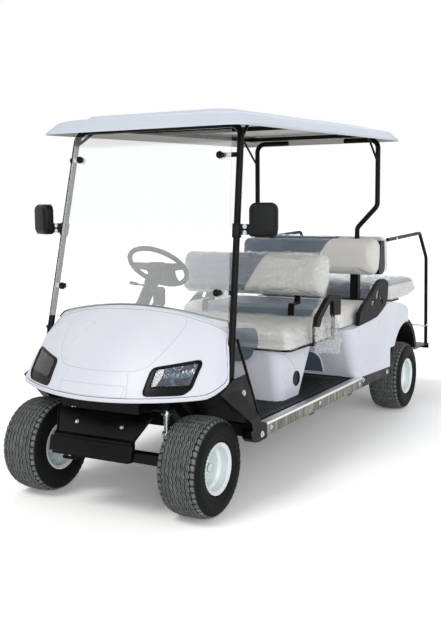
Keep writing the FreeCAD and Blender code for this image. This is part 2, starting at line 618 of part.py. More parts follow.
def windshield():
    """Clear sheet leaning back in front of the hoop, held by four screw knobs."""
    def spot(x, z):
        return V(x, GLASS_Y0 + GLASS_SLOPE * (z - GLASS_Z0), z)
    ring = [spot(x, z) for x, z in GLASS_EDGE]
    sheet = Part.Face(Part.makePolygon(ring + [ring[0]])).extrude(V(0, GLASS_T, 0))
    sheet = sheet.cut(cowl_solid(-2.0))
    knobs = []
    for out in (1, -1):
        for x, z in KNOBS:
            base = spot(out * x, z)
            sheet = sheet.cut(rod(tuple(base - V(0, 10, 0)), tuple(base + V(0, 20, 0)), 5.5))
            head = Part.makeCylinder(16, 13, base - V(0, 4, 0), V(0, -1, 0))
            stem = Part.makeCylinder(4.5, 17.5, base - V(0, 5, 0), V(0, 1, 0))
            knobs.append(fuse(head, stem))
    keep("windshield", sheet)
    keep("windshield_knobs", *knobs)


def mirrors():
    """Outside mirrors: a moulded head on an arm, clamped round each front post."""
    head = front_prism([(-62, 1400, 30), (58, 1402, 38), (64, 1250, 18), (-66, 1250, 14)], -17, 17)
    head.rotate(V(0, 0, 0), V(0, 0, 1), MIRROR_TURN)
    head = head.translated(V(633, 260, 0))
    arm = box(508, 592, 244, 266, 1258, 1306)
    low, high = V(500.1, 248.3, 1246), V(496.9, 260.5, 1306)
    clamp = rod(tuple(low), tuple(high), POST_R + 6)
    along = high - low
    bore = rod(tuple(low - along), tuple(high + along), POST_R + 0.3)
    keep("mirrors", *both_sides(fuse(head, arm, clamp).cut(bore)))


# ---------------------------------------------------------------- bodies and seats
def front_seat_base():
    """Moulded pod under the front bench, wider at the top, hollow and open below, with its black deck."""
    z0, z1 = FLOOR_Z + MAT_T + 0.5, SEAT_BASE_Z - DECK_T - 0.3
    wall = 8.0

    def plan(y0, y1, inset, z):
        half, r = POD_HALF - inset, 60.0 - inset
        y0, y1 = y0 + inset, y1 - inset
        return outline([(-half, y0, z, r), (half, y0, z, r), (half, y1, z, r), (-half, y1, z, r)])
    outer = Part.makeLoft([plan(800, 1060, 0, z0), plan(745, 1240, 0, z1)], True, True)
    inner = Part.makeLoft([plan(800, 1060, wall, z0 - 2), plan(745, 1240, wall, z1 - wall)], True, True)
    pod = outer.cut(inner)
    for out in (1, -1):
        pod = pod.cut(rod((out * 440, *PORT_YZ), (out * 480, *PORT_YZ), 38))
        pod = pod.fuse(rod((out * (POD_HALF - 14), *PORT_YZ), (out * (POD_HALF - 8), *PORT_YZ), 42))
    keep("front_seat_base", pod.removeSplitter())
    keep("front_seat_deck", plan_prism([(-540, 735, 30), (540, 735, 30), (540, 1295, 30), (-540, 1295, 30)],
                                       SEAT_BASE_Z - DECK_T, SEAT_BASE_Z))


def body_block(side, inset):
    """Side outline trimmed by the plan, whose front edge leans forward as it rises."""
    half = BODY_HALF - inset

    def plan(z, front):
        front, back = front + inset * 1.13, 2620 - inset
        return outline([(-half, front, z, 70 - inset), (half, front, z, 70 - inset),
                        (half, back, z, 150 - inset), (-half, back, z, 150 - inset)])
    trim = Part.makeLoft([plan(60, 1750), plan(800, 1363)], True, True)
    return side_prism(side, -half, half).common(trim)


def rear_body():
    """Moulded rear body: second bench's base, haunches over the wheels and the deck behind the bench."""
    half, y0, y1, floor_z = SEAT_WELL
    wall = 8.0
    outer = body_block(BODY_SIDE, 0).cut(box(-half, half, y0, y1, floor_z, 900))
    inner = body_block(BODY_HOLLOW, wall)
    inner = inner.cut(box(-half - wall, half + wall, y0, y1 + wall, floor_z - wall, 900))
    shell = outer.cut(inner)
    for x0, x1 in ((WELL_IN, 700), (-700, -WELL_IN)):
        arch = rod((x0, *ARCH_YZ), (x1, *ARCH_YZ), ARCH_R)
        front_leg = side_prism([(2135, 340), (2204, 448), (2700, 448), (2700, 100), (2120, 100)], x0, x1)
        shell = shell.cut(arch).cut(front_leg)
    keep("rear_body", max(shell.Solids, key=lambda piece: piece.Volume))


def wheel_well_liners():
    """Black barrel inside each rear arch, with its inner wall and the edge that runs on behind the body."""
    y, z = ARCH_YZ
    keep_out = body_block([(1300, 300), (2614, 300), (2614, 474), (2602, 561), (2562, 642, 60),
                           (2472, 708, 100), (2330, 760), (1300, 760)], -1.0)
    above = box(360, 600, y - 300, y + 300, 392, 800)
    barrel = rod((366, y, z), (580, y, z), 264).cut(rod((372, y, z), (600, y, z), 258)).common(above)
    edge = rod((562, y, z), (580, y, z), 293).cut(rod((560, y, z), (600, y, z), 258)).common(above)
    edge = edge.common(box(500, 600, y + 60, y + 300, 392, 700)).cut(keep_out)
    edge = max(edge.Solids, key=lambda piece: piece.Volume)
    keep("wheel_well_liners", *both_sides(barrel.fuse(edge).removeSplitter()))


def rear_seat_frame():
    """Black base plate of the rear-facing bench, the panel below it and two legs down to the rails."""
    z = REAR_SEAT_Z
    solids = [box(-495, 495, 2418, 2600, z - 2, z + 7), box(-380, 380, 2590, 2900, z - 2, z + 7),
              box(-355, 355, 2700, 2706, 474, z)]
    for x0, x1 in ((RAIL_IN, RAIL_OUT), (-RAIL_OUT, -RAIL_IN)):
        solids.append(box(x0, x1, 2846, 2892, 470.5, z))
    keep("rear_seat_frame", fuse(*solids))


def cushion(half, y0, y1, z0, z1, edge):
    """Plain stand-in for a padded piece."""
    pad = box(-half, half, y0, y1, z0, z1)
    return pad.makeFillet(edge, pad.Edges)


def leaning_pad(half, low, high, thick, edge):
    """Padded back whose front face leans from a low to a high point (y, z)."""
    (y0, z0), (y1, z1) = low, high
    pad = box(-half, half, 0, thick, 0, math.hypot(y1 - y0, z1 - z0))
    pad = pad.makeFillet(edge, pad.Edges)
    pad.rotate(V(0, 0, 0), V(1, 0, 0), -math.degrees(math.atan2(y1 - y0, z1 - z0)))
    return pad.translated(V(0, y0, z0))


def seats():
    """Cushions and backs of the three benches."""
    cushions = [  # name, half width, y from, y to, underside, top, edge radius
        ("front", SEAT_HALF, 705, 1265, SEAT_BASE_Z + 0.5, 767, 34),
        ("second", SEAT_HALF, 1400, 1960, REAR_DECK_Z + 6.5, 794, 34),
        ("rear", 505, 2440, 3030, REAR_SEAT_Z + 8, 865, 38),
    ]
    for name, half, y0, y1, z0, z1, edge in cushions:
        keep(f"{name}_seat_cushion", cushion(half, y0, y1, z0, z1, edge))
    backs = [  # name, half width, low front, high front, thickness
        ("front", FRONT_BACK_HALF, (1298, 860), (1354, 1140), 82),
        ("second", BACK_HALF, (2114.3, 923), (2152, 1190), 88),
        ("rear", BACK_HALF, (2330, 905), (2302, 1190), 88),
    ]
    for name, half, low, high, thick in backs:
        keep(f"{name}_seat_back", leaning_pad(half, low, high, thick, 34))


def seat_brackets():
    """Flat arms that carry the front back, and the moulded shell and posts between the other two."""
    arm = [(1270, SEAT_BASE_Z + 0.5), (1290, SEAT_BASE_Z + 0.5), (1310, 816), (1389.6, 816), (1444, 1100),
           (1432.2, 1100), (1377.8, 828), (1300, 828)]
    keep("front_back_brackets", *both_sides(side_prism(arm, 268, 302)))
    shell = side_prism([(2206, 932, 30), (2326, 932, 60), (2304.6, 1150, 20), (2237, 1150, 20)], -488, 488)
    posts = [box(x0, x1, 2246, 2290, 758, 940) for x0, x1 in ((275, 330), (-330, -275))]
    keep("seat_back_shell", fuse(shell, *posts))


def hip_guards():
    """Black moulded guards at the ends of the front two benches; the front pair stands on thin brackets."""
    x0, x1 = GUARD_X, GUARD_X + GUARD_T
    front = [side_prism(FRONT_GUARD, x0, x1)]
    for y0, y1, top in ((972, 1000, 760), (1225, 1270, 800)):
        front.append(box(x0 - 4.5, x0 + 1, y0, y1, 645, top))
        front.append(box(540.5, x0 - 4, y0, y1, 645, 652))
    second = side_prism(SECOND_GUARD, x0 + 2, x1 + 2).cut(side_prism(GUARD_HOLLOW, x0, x1 + 2 - GUARD_FACE))
    for slot in GUARD_SLOTS:
        second = second.cut(side_prism(slot, x0, x1 + 10))
    keep("hip_guards", *both_sides(fuse(*front)), *both_sides(second))


def rear_step():
    """Footplate on two brackets behind the body, and a bent grab rail on each side."""
    z = STEP_Z
    plate = box(-STEP_HALF, STEP_HALF, 2990, STEP_END, z, z + 4)
    lip = box(-STEP_HALF, STEP_HALF, STEP_END - 4, STEP_END, z - 36, z + 4)
    arms = [side_prism([(2900.5, 425), (2900.5, 465), (2950, 465), (3020, z), (3310, z), (3310, z - 30),
                        (3020, z - 30), (2940, 425)], x - 20, x + 20) for x in (-190, 190)]
    keep("rear_footplate", fuse(plate, lip, *arms))
    x = GRAB_RAIL_X
    rail = bent_tube([(x, 2399, 1150), (x, 3105, 1172, 40), (x, 3278, 985, 60), (x, 3308, z + 5.2)], RAIL_R)
    keep("rear_grab_rails", *both_sides(rail))


def rear_axle():
    """Axle tube, gearbox, motor, drums and spindles; leaf springs; the battery set as one block."""
    y, z = WHEELBASE, AXLE_Z
    tube = rod((-372, y, z), (372, y, z), 28)
    case = rod((10, y, z), (110, y, z), 88)
    case = case.makeFillet(30, case.Edges)
    motor = rod((-40, y - 40, z + 10), (-40, y - 330, z + 30), 84)
    drums = [rod((out * 372, y, z), (out * 424, y, z), 84) for out in (1, -1)]
    spindles = [rod((out * 420, y, z), (out * (REAR_TRACK / 2 + 6), y, z), SPINDLE_R) for out in (1, -1)]
    keep("rear_axle", fuse(tube, case, motor, *drums, *spindles))
    leaf = side_prism([(y - 330, 360), (y, 262), (y + 330, 360), (y + 330, 372), (y, 276), (y - 330, 372)],
                      250, 300)
    parts = [leaf]
    for y0, y1 in ((y - 336, y - 318), (y + 318, y + 336)):
        parts.append(box(250, 300, y0, y1, 356, 424))
        parts.append(box(RAIL_OUT + 0.5, 300, y0, y1, 424, 446))
    keep("rear_springs", *both_sides(fuse(*parts)))
    keep("battery_pack", box(-300, 300, 1660, 2040, 332, 600))


wheels()
front_axle()
steering()
steering_column()
steering_wheel()
main_frame()
floor()
step_brackets()
front_cowl()
front_underbody()
front_bumper()
dash()
pedals()
roof()
roof_frame()
front_hoop()
rear_struts()
windshield()
mirrors()
front_seat_base()
rear_body()
wheel_well_liners()
rear_seat_frame()
seats()
seat_brackets()
hip_guards()
rear_step()
rear_axle()

for name, shape in NODES.items():
    shape.translated(ROW_SHIFT).exportStep(f"parts/{name}.step")
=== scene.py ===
"""Six-seat golf cart: the finishes, treads, cushions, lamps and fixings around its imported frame."""
import math

import bmesh
import bpy
from mathutils import Matrix, Vector, noise


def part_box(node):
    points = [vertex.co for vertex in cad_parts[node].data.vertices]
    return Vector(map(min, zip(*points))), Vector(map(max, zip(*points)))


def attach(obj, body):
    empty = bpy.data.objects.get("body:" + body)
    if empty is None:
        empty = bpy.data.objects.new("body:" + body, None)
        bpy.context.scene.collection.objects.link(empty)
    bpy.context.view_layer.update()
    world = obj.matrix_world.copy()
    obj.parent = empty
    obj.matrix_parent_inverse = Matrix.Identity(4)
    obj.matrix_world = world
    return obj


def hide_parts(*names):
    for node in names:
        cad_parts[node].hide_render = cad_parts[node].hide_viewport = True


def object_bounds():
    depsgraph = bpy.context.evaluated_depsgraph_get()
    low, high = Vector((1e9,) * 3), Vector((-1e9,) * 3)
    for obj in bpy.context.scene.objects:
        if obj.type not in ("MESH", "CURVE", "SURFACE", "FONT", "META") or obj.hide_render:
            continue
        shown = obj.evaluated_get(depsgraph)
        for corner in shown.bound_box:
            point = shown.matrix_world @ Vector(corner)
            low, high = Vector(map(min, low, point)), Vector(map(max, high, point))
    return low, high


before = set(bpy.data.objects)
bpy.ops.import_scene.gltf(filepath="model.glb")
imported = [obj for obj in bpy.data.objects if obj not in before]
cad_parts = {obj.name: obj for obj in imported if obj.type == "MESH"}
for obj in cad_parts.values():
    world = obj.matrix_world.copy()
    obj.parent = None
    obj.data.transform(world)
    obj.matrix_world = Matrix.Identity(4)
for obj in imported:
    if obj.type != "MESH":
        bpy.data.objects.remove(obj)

cad_low, cad_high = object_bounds()

# ---------------------------------------------------------------------------------------------------
# Camera. A standing adult's eye a few metres off the cart's left front corner, looking slightly down,
# with a short telephoto view that keeps the posts nearly upright.
FRONT_AXLE_Y = (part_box("front_left_tyre")[0].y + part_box("front_left_tyre")[1].y) / 2
EYE = (2.4885, FRONT_AXLE_Y - 3.4398, 1.4029)
EYE_TURN, EYE_DOWN, EYE_ROLL = 29.371, 6.802, -0.485            # degrees
LENS_MM, FILM_MM = 52.81, 36.0
FARTHEST = 80.0
camera_data = bpy.data.cameras.new("camera")
camera = bpy.data.objects.new("camera", camera_data)
bpy.context.scene.collection.objects.link(camera)
bpy.context.scene.camera = camera
camera_data.lens = LENS_MM
camera_data.sensor_width = FILM_MM
camera_data.clip_end = FARTHEST
camera.matrix_world = (Matrix.Translation(EYE) @ Matrix.Rotation(math.radians(EYE_TURN), 4, "Z")
                       @ Matrix.Rotation(math.radians(90.0 - EYE_DOWN), 4, "X")
                       @ Matrix.Rotation(math.radians(EYE_ROLL), 4, "Z"))

# ---------------------------------------------------------------------------------------------------
# Studio. One seamless white floor, a key light high in front of the cart, low fills at its left corner and
# left side and a weak one behind it, so that a soft shadow lies under the cart and behind it.


def colour(code):
    """An sRGB hex code as linear red, green, blue and alpha."""
    parts = [int(code[i:i + 2], 16) / 255 for i in (1, 3, 5)]
    return [p / 12.92 if p <= 0.04045 else ((p + 0.055) / 1.055) ** 2.4 for p in parts] + [1.0]


def add(material, kind, inputs=None, to=None, stops=(), **settings):
    """One shader node of that kind: its settings, its inputs set or linked, and its output linked on.

    Stops are a colour ramp's: where each is, and its hex colour.
    """
    made = material.node_tree.nodes.new("ShaderNode" + kind)
    for name, value in settings.items():
        setattr(made, name, value)
    for name, value in (inputs or {}).items():
        if isinstance(value, bpy.types.NodeSocket):
            material.node_tree.links.new(value, made.inputs[name])
        else:
            made.inputs[name].default_value = value
    for i, (place, code) in enumerate(stops):
        made.color_ramp.elements[i].position = place
        made.color_ramp.elements[i].color = colour(code)
    if to:
        material.node_tree.links.new(next(socket for socket in made.outputs if socket.enabled), to)
    return made


def empty_material(name):
    """A material with only its output, and that output's surface socket."""
    material = bpy.data.materials.new(name)
    material.use_nodes = True
    material.node_tree.nodes.clear()
    return material, add(material, "OutputMaterial").inputs["Surface"]


def seen_directly(material):
    """A node that gives 1 to rays from the camera, a lens or a glossy surface, and 0 to all others."""
    path = add(material, "LightPath")
    seen = add(material, "Math", {0: path.outputs["Is Camera Ray"], 1: path.outputs["Is Glossy Ray"]},
               operation="MAXIMUM")
    return add(material, "Math", {0: seen.outputs[0], 1: path.outputs["Is Transmission Ray"]},
               operation="MAXIMUM")


# Matt white floor paint. The camera, lenses and glossy metal see it brightened to the backdrop's white
# wherever no shadow lies on it.
FLOOR_HALF = 40.0
FLOOR_PAINT, FLOOR_SEEN = 0.88, 1.50
FLOOR_GLOW = 0.08
SKY_LIGHT, SKY_SEEN = 0.36, 1.0
floor_paint, surface_end = empty_material("matt_floor_paint")
seen = seen_directly(floor_paint)
tone = add(floor_paint, "MapRange", {"Value": seen.outputs[0], "To Min": FLOOR_PAINT, "To Max": FLOOR_SEEN})
paint = add(floor_paint, "BsdfDiffuse", {"Color": tone.outputs[0]})
lift = add(floor_paint, "Math", {0: seen.outputs[0], 1: FLOOR_GLOW}, operation="MULTIPLY")
glow = add(floor_paint, "Emission", {"Color": colour("#FFFFFF"), "Strength": lift.outputs[0]})
add(floor_paint, "AddShader", {0: paint.outputs[0], 1: glow.outputs[0]}, to=surface_end)
form = bmesh.new()
bmesh.ops.create_grid(form, x_segments=2, y_segments=2, size=FLOOR_HALF)
floor_mesh = bpy.data.meshes.new("studio_floor")
form.to_mesh(floor_mesh)
form.free()
floor_mesh.materials.append(floor_paint)
floor = bpy.data.objects.new("studio_floor", floor_mesh)
bpy.context.scene.collection.objects.link(floor)

world = bpy.data.worlds.new("studio")
bpy.context.scene.world = world
world.use_nodes = True
world.node_tree.nodes.clear()
seen = seen_directly(world)
strength = add(world, "MapRange", {"Value": seen.outputs[0], "To Min": SKY_LIGHT, "To Max": SKY_SEEN})
sky = add(world, "Background", {"Color": colour("#FFFFFF"), "Strength": strength.outputs[0]})
add(world, "OutputWorld", {"Surface": sky.outputs[0]})

SOFT_LIGHTS = [  # name, direction towards the light, watts a square metre, spread in degrees, colour
    ("key_light", (-0.25, -0.62, 0.90), 0.88, 24.0, "#FFFEFA"),
    ("front_light", (0.55, -0.80, 0.24), 0.98, 30.0, "#FFFFFF"),
    ("side_light", (0.92, -0.25, 0.30), 0.56, 40.0, "#F8FAFF"),
    ("back_light", (-0.30, 0.90, 0.60), 0.40, 40.0, "#F8FAFF"),
]
for name, toward, watts, spread, tint in SOFT_LIGHTS:
    light = bpy.data.lights.new(name, "SUN")
    light.energy = watts
    light.angle = math.radians(spread)
    light.color = colour(tint)[:3]
    lamp = bpy.data.objects.new(name, light)
    bpy.context.scene.collection.objects.link(lamp)
    lamp.rotation_mode = "QUATERNION"
    lamp.rotation_quaternion = Vector(toward).to_track_quat("Z", "Y")
bpy.context.scene.view_settings.view_transform = "Standard"

# ---------------------------------------------------------------------------------------------------
# Ladder frame and tube work. Welded steel channel, box section and bent tube, shot-blasted and powder
# coated in satin black, so the coat has a fine orange peel and no edges of bare metal.


CLOUD_LOW, CLOUD_HIGH = 0.3, 0.7            # most of a noise pattern's values lie between these


def surface(name, tone, roughness, metallic=0.0, specular=0.5, relief=None):
    """A material with a principled shader. Returns the material, the shader and its object coordinates.

    The tone is a hex colour or, where a pattern of its own gives the colour, None. The roughness is a
    number. Or either is (size, low, high): soft patches of that size, in metres, between two values.
    The relief is (size, height, detail): waves of that size and height in the face or, with None for the
    detail, the round cells of a leather grain.
    """
    material, surface_end = empty_material(name)
    shader = add(material, "BsdfPrincipled", {"Metallic": metallic, "Specular IOR Level": specular},
                 to=surface_end)
    where = add(material, "TexCoord").outputs["Object"]
    if isinstance(tone, tuple):
        size, low, high = tone
        cloud = add(material, "TexNoise", {"Vector": where, "Scale": 1 / size, "Detail": 4.0})
        add(material, "ValToRGB", {"Fac": cloud.outputs["Fac"]}, to=shader.inputs["Base Color"],
            stops=((CLOUD_LOW, low), (CLOUD_HIGH, high)))
    elif tone:
        shader.inputs["Base Color"].default_value = colour(tone)
    if isinstance(roughness, tuple):
        size, low, high = roughness
        cloud = add(material, "TexNoise", {"Vector": where, "Scale": 1 / size, "Detail": 3.0})
        add(material, "MapRange", {"Value": cloud.outputs["Fac"], "From Min": CLOUD_LOW,
                                   "From Max": CLOUD_HIGH, "To Min": low, "To Max": high},
            to=shader.inputs["Roughness"])
    else:
        shader.inputs["Roughness"].default_value = roughness
    if relief:
        size, height, detail = relief
        if detail is None:
            shape = add(material, "TexVoronoi", {"Vector": where, "Scale": 1 / size}, feature="SMOOTH_F1")
        else:
            shape = add(material, "TexNoise", {"Vector": where, "Scale": 1 / size, "Detail": detail})
        add(material, "Bump", {"Height": shape.outputs[0], "Distance": height}, to=shader.inputs["Normal"])
    return material, shader, where


def dress(finish, *nodes):
    """Gives CAD nodes a finish, in every one of their material slots."""
    for node in nodes:
        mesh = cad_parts[node].data
        for i in range(len(mesh.materials)):
            mesh.materials[i] = finish
        if not mesh.materials:
            mesh.materials.append(finish)


# Powder coat, satin black: orange peel waves of about 2 mm, drawn at 4 mm so that they catch the light.
powder_coat = surface("satin_black_powder_coat", (0.12, "#040405", "#0A0A0B"), (0.06, 0.32, 0.48),
                      specular=0.12, relief=(0.004, 0.00012, 1.0))[0]
dress(powder_coat, "frame_rails", "frame_cross_members", "frame_outriggers", "rear_side_rails",
      "step_brackets", "front_back_brackets", "front_hoop", "rear_struts", "roof_rails", "roof_cross_bars",
      "rear_seat_frame", "rear_footplate", "rear_grab_rails", "front_bumper")

# Zinc plate on bolts and strut rods: bright, pale blue-grey and slightly cloudy.
zinc_plate = surface("zinc_plated_steel", (0.008, "#B6BCC1", "#DADEE1"), (0.004, 0.2, 0.36), metallic=1.0)[0]


def finished(piece_name, form, finish, smooth=35.0, body="chassis"):
    """A bmesh as a named piece that rides on a body, smooth but for edges sharper than that many degrees."""
    bmesh.ops.remove_doubles(form, verts=form.verts, dist=1e-6)
    bmesh.ops.recalc_face_normals(form, faces=form.faces)
    mesh = bpy.data.meshes.new(piece_name)
    form.to_mesh(mesh)
    form.free()
    mesh.shade_smooth()
    mesh.set_sharp_from_angle(angle=math.radians(smooth))
    mesh.materials.append(finish)
    piece = bpy.data.objects.new(piece_name, mesh)
    bpy.context.scene.collection.objects.link(piece)
    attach(piece, body)
    return piece


def facing(place, out):
    """The matrix that stands something built along +Z at a place, pointing along out."""
    return Matrix.Translation(place) @ Vector(out).to_track_quat("Z", "Y").to_matrix().to_4x4()


def round_off(form, edges, radius, segments=2):
    """Rounds those edges of a bmesh, and returns the new points."""
    return bmesh.ops.bevel(form, geom=list(edges), offset=radius, segments=segments, profile=0.5,
                           affect="EDGES", material=-1)["verts"]


def add_bolt(form, place, out, across):
    """A hexagon bolt head of that width across its flats, chamfered, on a round washer."""
    parts = []
    for sides, wide, high in ((24, 1.1 * across, 0.16 * across), (6, across / math.sqrt(3), 0.62 * across)):
        made = bmesh.ops.create_cone(form, cap_ends=True, segments=sides, radius1=wide, radius2=wide,
                                     depth=high)["verts"]
        bmesh.ops.translate(form, vec=(0, 0, high / 2), verts=made)
        rim = {e for v in made for e in v.link_edges if min(e.verts[0].co.z, e.verts[1].co.z) > high * 0.9}
        chamfer = round_off(form, rim, 0.08 * across)
        parts += [v for v in made if v.is_valid] + chamfer
    bmesh.ops.transform(form, matrix=facing(place, out), verts=list(dict.fromkeys(parts)))


rail_low, rail_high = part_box("rear_side_rails")
STEP_PLATE_X, STEP_FOOT_X = 0.562, 0.604        # outer faces of the step bracket's plate and foot
FRAME_BOLTS = [  # outer face, place behind the front axle, height, width across flats
    (rail_high.x, rail_low.lerp(rail_high, 0.08).y - FRONT_AXLE_Y, 0.345, 0.013),
    (rail_high.x, rail_low.lerp(rail_high, 0.92).y - FRONT_AXLE_Y, 0.325, 0.013),
    (STEP_PLATE_X, 0.192, 0.538, 0.014), (STEP_PLATE_X, 0.326, 0.394, 0.014),
    (STEP_FOOT_X, 0.296, 0.328, 0.014),
]
form = bmesh.new()
for out in (-1, 1):
    for face, behind, up, across in FRAME_BOLTS:
        add_bolt(form, (out * face, FRONT_AXLE_Y + behind, up), (out, 0, 0), across)
finished("frame_bolts", form, zinc_plate, smooth=25.0)

# ---------------------------------------------------------------------------------------------------
# Axles and suspension. Black-oiled steel beams, forged knuckles, leaf springs, and front gas struts with
# bright rods. Mill scale and road dust leave them dull and slightly brown.
oiled_steel = surface("black_oiled_steel", (0.05, "#0A0A09", "#1B1815"), 0.5, metallic=0.4, specular=0.2,
                      relief=(0.006, 0.0003, 6.0))[0]
dress(oiled_steel, "front_axle", "rear_axle", "left_knuckle", "right_knuckle", "rear_springs",
      "steering_column")
dress(zinc_plate, "front_struts", "tie_rod")

# ---------------------------------------------------------------------------------------------------
# Rims. Pressed steel wheels, 8 inches across, enamelled white with a faint green cast; a rubber snap-in
# valve, four acorn nuts on each hub and a pressed dust cap on the front ones.
wheel_enamel, shader, _ = surface("white_wheel_enamel", (0.07, "#E4EFEF", "#F1F8F8"), 0.25,
                                  relief=(0.005, 0.0001, 1.0))
shader.inputs["Coat Weight"].default_value = 0.3
dress(wheel_enamel, "front_left_rim", "front_right_rim", "rear_left_rim", "rear_right_rim")

STUD_CIRCLE_R = 0.0508
HUB_FACE = -0.002               # the hub's face, from the wheel's middle plane
# Turned profiles: distance along the axis, radius.
ACORN_NUT = [(0.002, 0.0), (0.002, 0.0115), (0.005, 0.0118), (0.013, 0.0100), (0.019, 0.0065), (0.0215, 0.0)]
HUB_CAPS = {
    "front": [(0.044, 0.0), (0.044, 0.0235), (0.050, 0.0240), (0.056, 0.0225), (0.0585, 0.0180),
              (0.0590, 0.0)],
    "rear": [(0.016, 0.0), (0.016, 0.0200), (0.023, 0.0205), (0.026, 0.0170), (0.0265, 0.0)],
}
WHEELS = [("front", "left", 1), ("front", "right", -1), ("rear", "left", 1), ("rear", "right", -1)]


def middle(node):
    """The middle of a CAD node's box."""
    low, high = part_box(node)
    return (low + high) / 2


def add_turned(form, profile, place, out, steps=24):
    """A solid of revolution from (along its axis, radius) points, standing at a place along out."""
    start = [form.verts.new((r, 0, a)) for a, r in profile]
    edges = [form.edges.new(pair) for pair in zip(start, start[1:])]
    old = set(form.verts) - set(start)
    bmesh.ops.spin(form, geom=start + edges, cent=(0, 0, 0), axis=(0, 0, 1), angle=2 * math.pi, steps=steps,
                   use_merge=True)
    made = [v for v in form.verts if v not in old]
    bmesh.ops.remove_doubles(form, verts=made, dist=1e-6)
    made = [v for v in form.verts if v not in old]
    bmesh.ops.transform(form, matrix=facing(place, out), verts=made)


for end, side, out in WHEELS:
    centre = middle(f"{end}_{side}_tyre")
    form = bmesh.new()
    for across, up in ((1, 0), (0, 1), (-1, 0), (0, -1)):
        stud = centre + Vector((out * HUB_FACE, STUD_CIRCLE_R * across, STUD_CIRCLE_R * up))
        add_turned(form, ACORN_NUT, stud, (out, 0, 0), steps=12)
    add_turned(form, HUB_CAPS[end], centre, (out, 0, 0))
    finished(f"{end}_{side}_wheel_nuts", form, zinc_plate, smooth=40.0,
             body=f"{end}_{side}_wheel")

# ---------------------------------------------------------------------------------------------------
# Tyres. 18 x 8.5-8 bias-ply turf tyres of black rubber: nine narrow ribs with saw-toothed edges round
# the tread, notched shoulders and plain sidewalls with moulded rings, seated on the rims' beads.
TYRE_R = 0.2285
TREAD_DEPTH = 0.006
TREAD_HALF = 0.090
RIBS = 9
GROOVE = 0.0042
GROOVE_WALL = 0.0006
TEETH = 44
STEPS_A_TOOTH = 4
TOOTH = (-0.0020, 0.0006, 0.0032, -0.0026)        # sideways reach of a rib's edge along one tooth
NOTCH_DEPTH = 0.0045
SHOULDER_FROM = 0.072
SHOULDER_TO = 0.1005
SIDE_PROFILE = [  # distance from the tyre's middle plane, radius
    (0.0955, 0.2080), (0.0995, 0.2010), (0.1025, 0.1930), (0.1042, 0.1870), (0.1054, 0.1868),
    (0.1062, 0.1840), (0.1078, 0.1740), (0.1079, 0.1640), (0.1068, 0.1545), (0.1078, 0.1538),
    (0.1075, 0.1500), (0.1054, 0.1490), (0.1026, 0.1375), (0.0996, 0.1290), (0.0960, 0.1240),
    (0.0912, 0.1190), (0.0868, 0.1120), (0.0866, 0.1058)]
VALVE_ANGLE = math.radians(62.0)
VALVE_R = 0.078                 # the valve's foot, from the wheel's axis
VALVE_LEAN = 0.55
VALVE_STEM = [(-0.010, 0.0), (-0.010, 0.0075), (0.004, 0.0078), (0.008, 0.0048), (0.026, 0.0042),
              (0.027, 0.0050), (0.036, 0.0048), (0.038, 0.0036), (0.0385, 0.0)]


def tread_radius(offset):
    """Radius of the tread's crowned surface at a distance from the middle plane."""
    share = abs(offset) / TREAD_HALF
    return TYRE_R - 0.0070 * share ** 2 - 0.0085 * share ** 5


def tread_rows():
    """Rows across the tread: (distance from the middle plane, depth's share, tooth's share)."""
    rows = [(-TREAD_HALF, 0.0, 0.0)]
    pitch = 2 * TREAD_HALF / RIBS
    for k in range(RIBS):
        left = -TREAD_HALF + k * pitch + GROOVE / 2
        right = -TREAD_HALF + (k + 1) * pitch - GROOVE / 2
        if k:
            rows += [(left + GROOVE_WALL, 1.0, 1.0), (left, 0.0, 1.0)]
        rows.append(((left + right) / 2, 0.0, 1.0))
        if k < RIBS - 1:
            rows += [(right, 0.0, 1.0), (right - GROOVE_WALL, 1.0, 1.0)]
    return sorted(rows) + [(TREAD_HALF, 0.0, 0.0)]


# Black tyre rubber: near black on the sidewalls, grey with dust and wear where it meets the road.
tyre_rubber, shader, where = surface("tyre_rubber", None, 0.65, specular=0.15, relief=(0.003, 0.0004, 3.0))
worn = add(tyre_rubber, "Attribute", attribute_name="wear")
dust = add(tyre_rubber, "TexNoise", {"Vector": where, "Scale": 1 / 0.03, "Detail": 8.0, "Roughness": 0.7})
patches = add(tyre_rubber, "MapRange", {"Value": dust.outputs["Fac"], "From Min": 0.35, "From Max": 0.65,
                                        "To Min": 0.45})
amount = add(tyre_rubber, "Math", {0: worn.outputs["Fac"], 1: patches.outputs[0]}, operation="MULTIPLY")
add(tyre_rubber, "ValToRGB", {"Fac": amount.outputs[0]}, to=shader.inputs["Base Color"],
    stops=((0.0, "#0B0C0C"), (1.0, "#868988")))

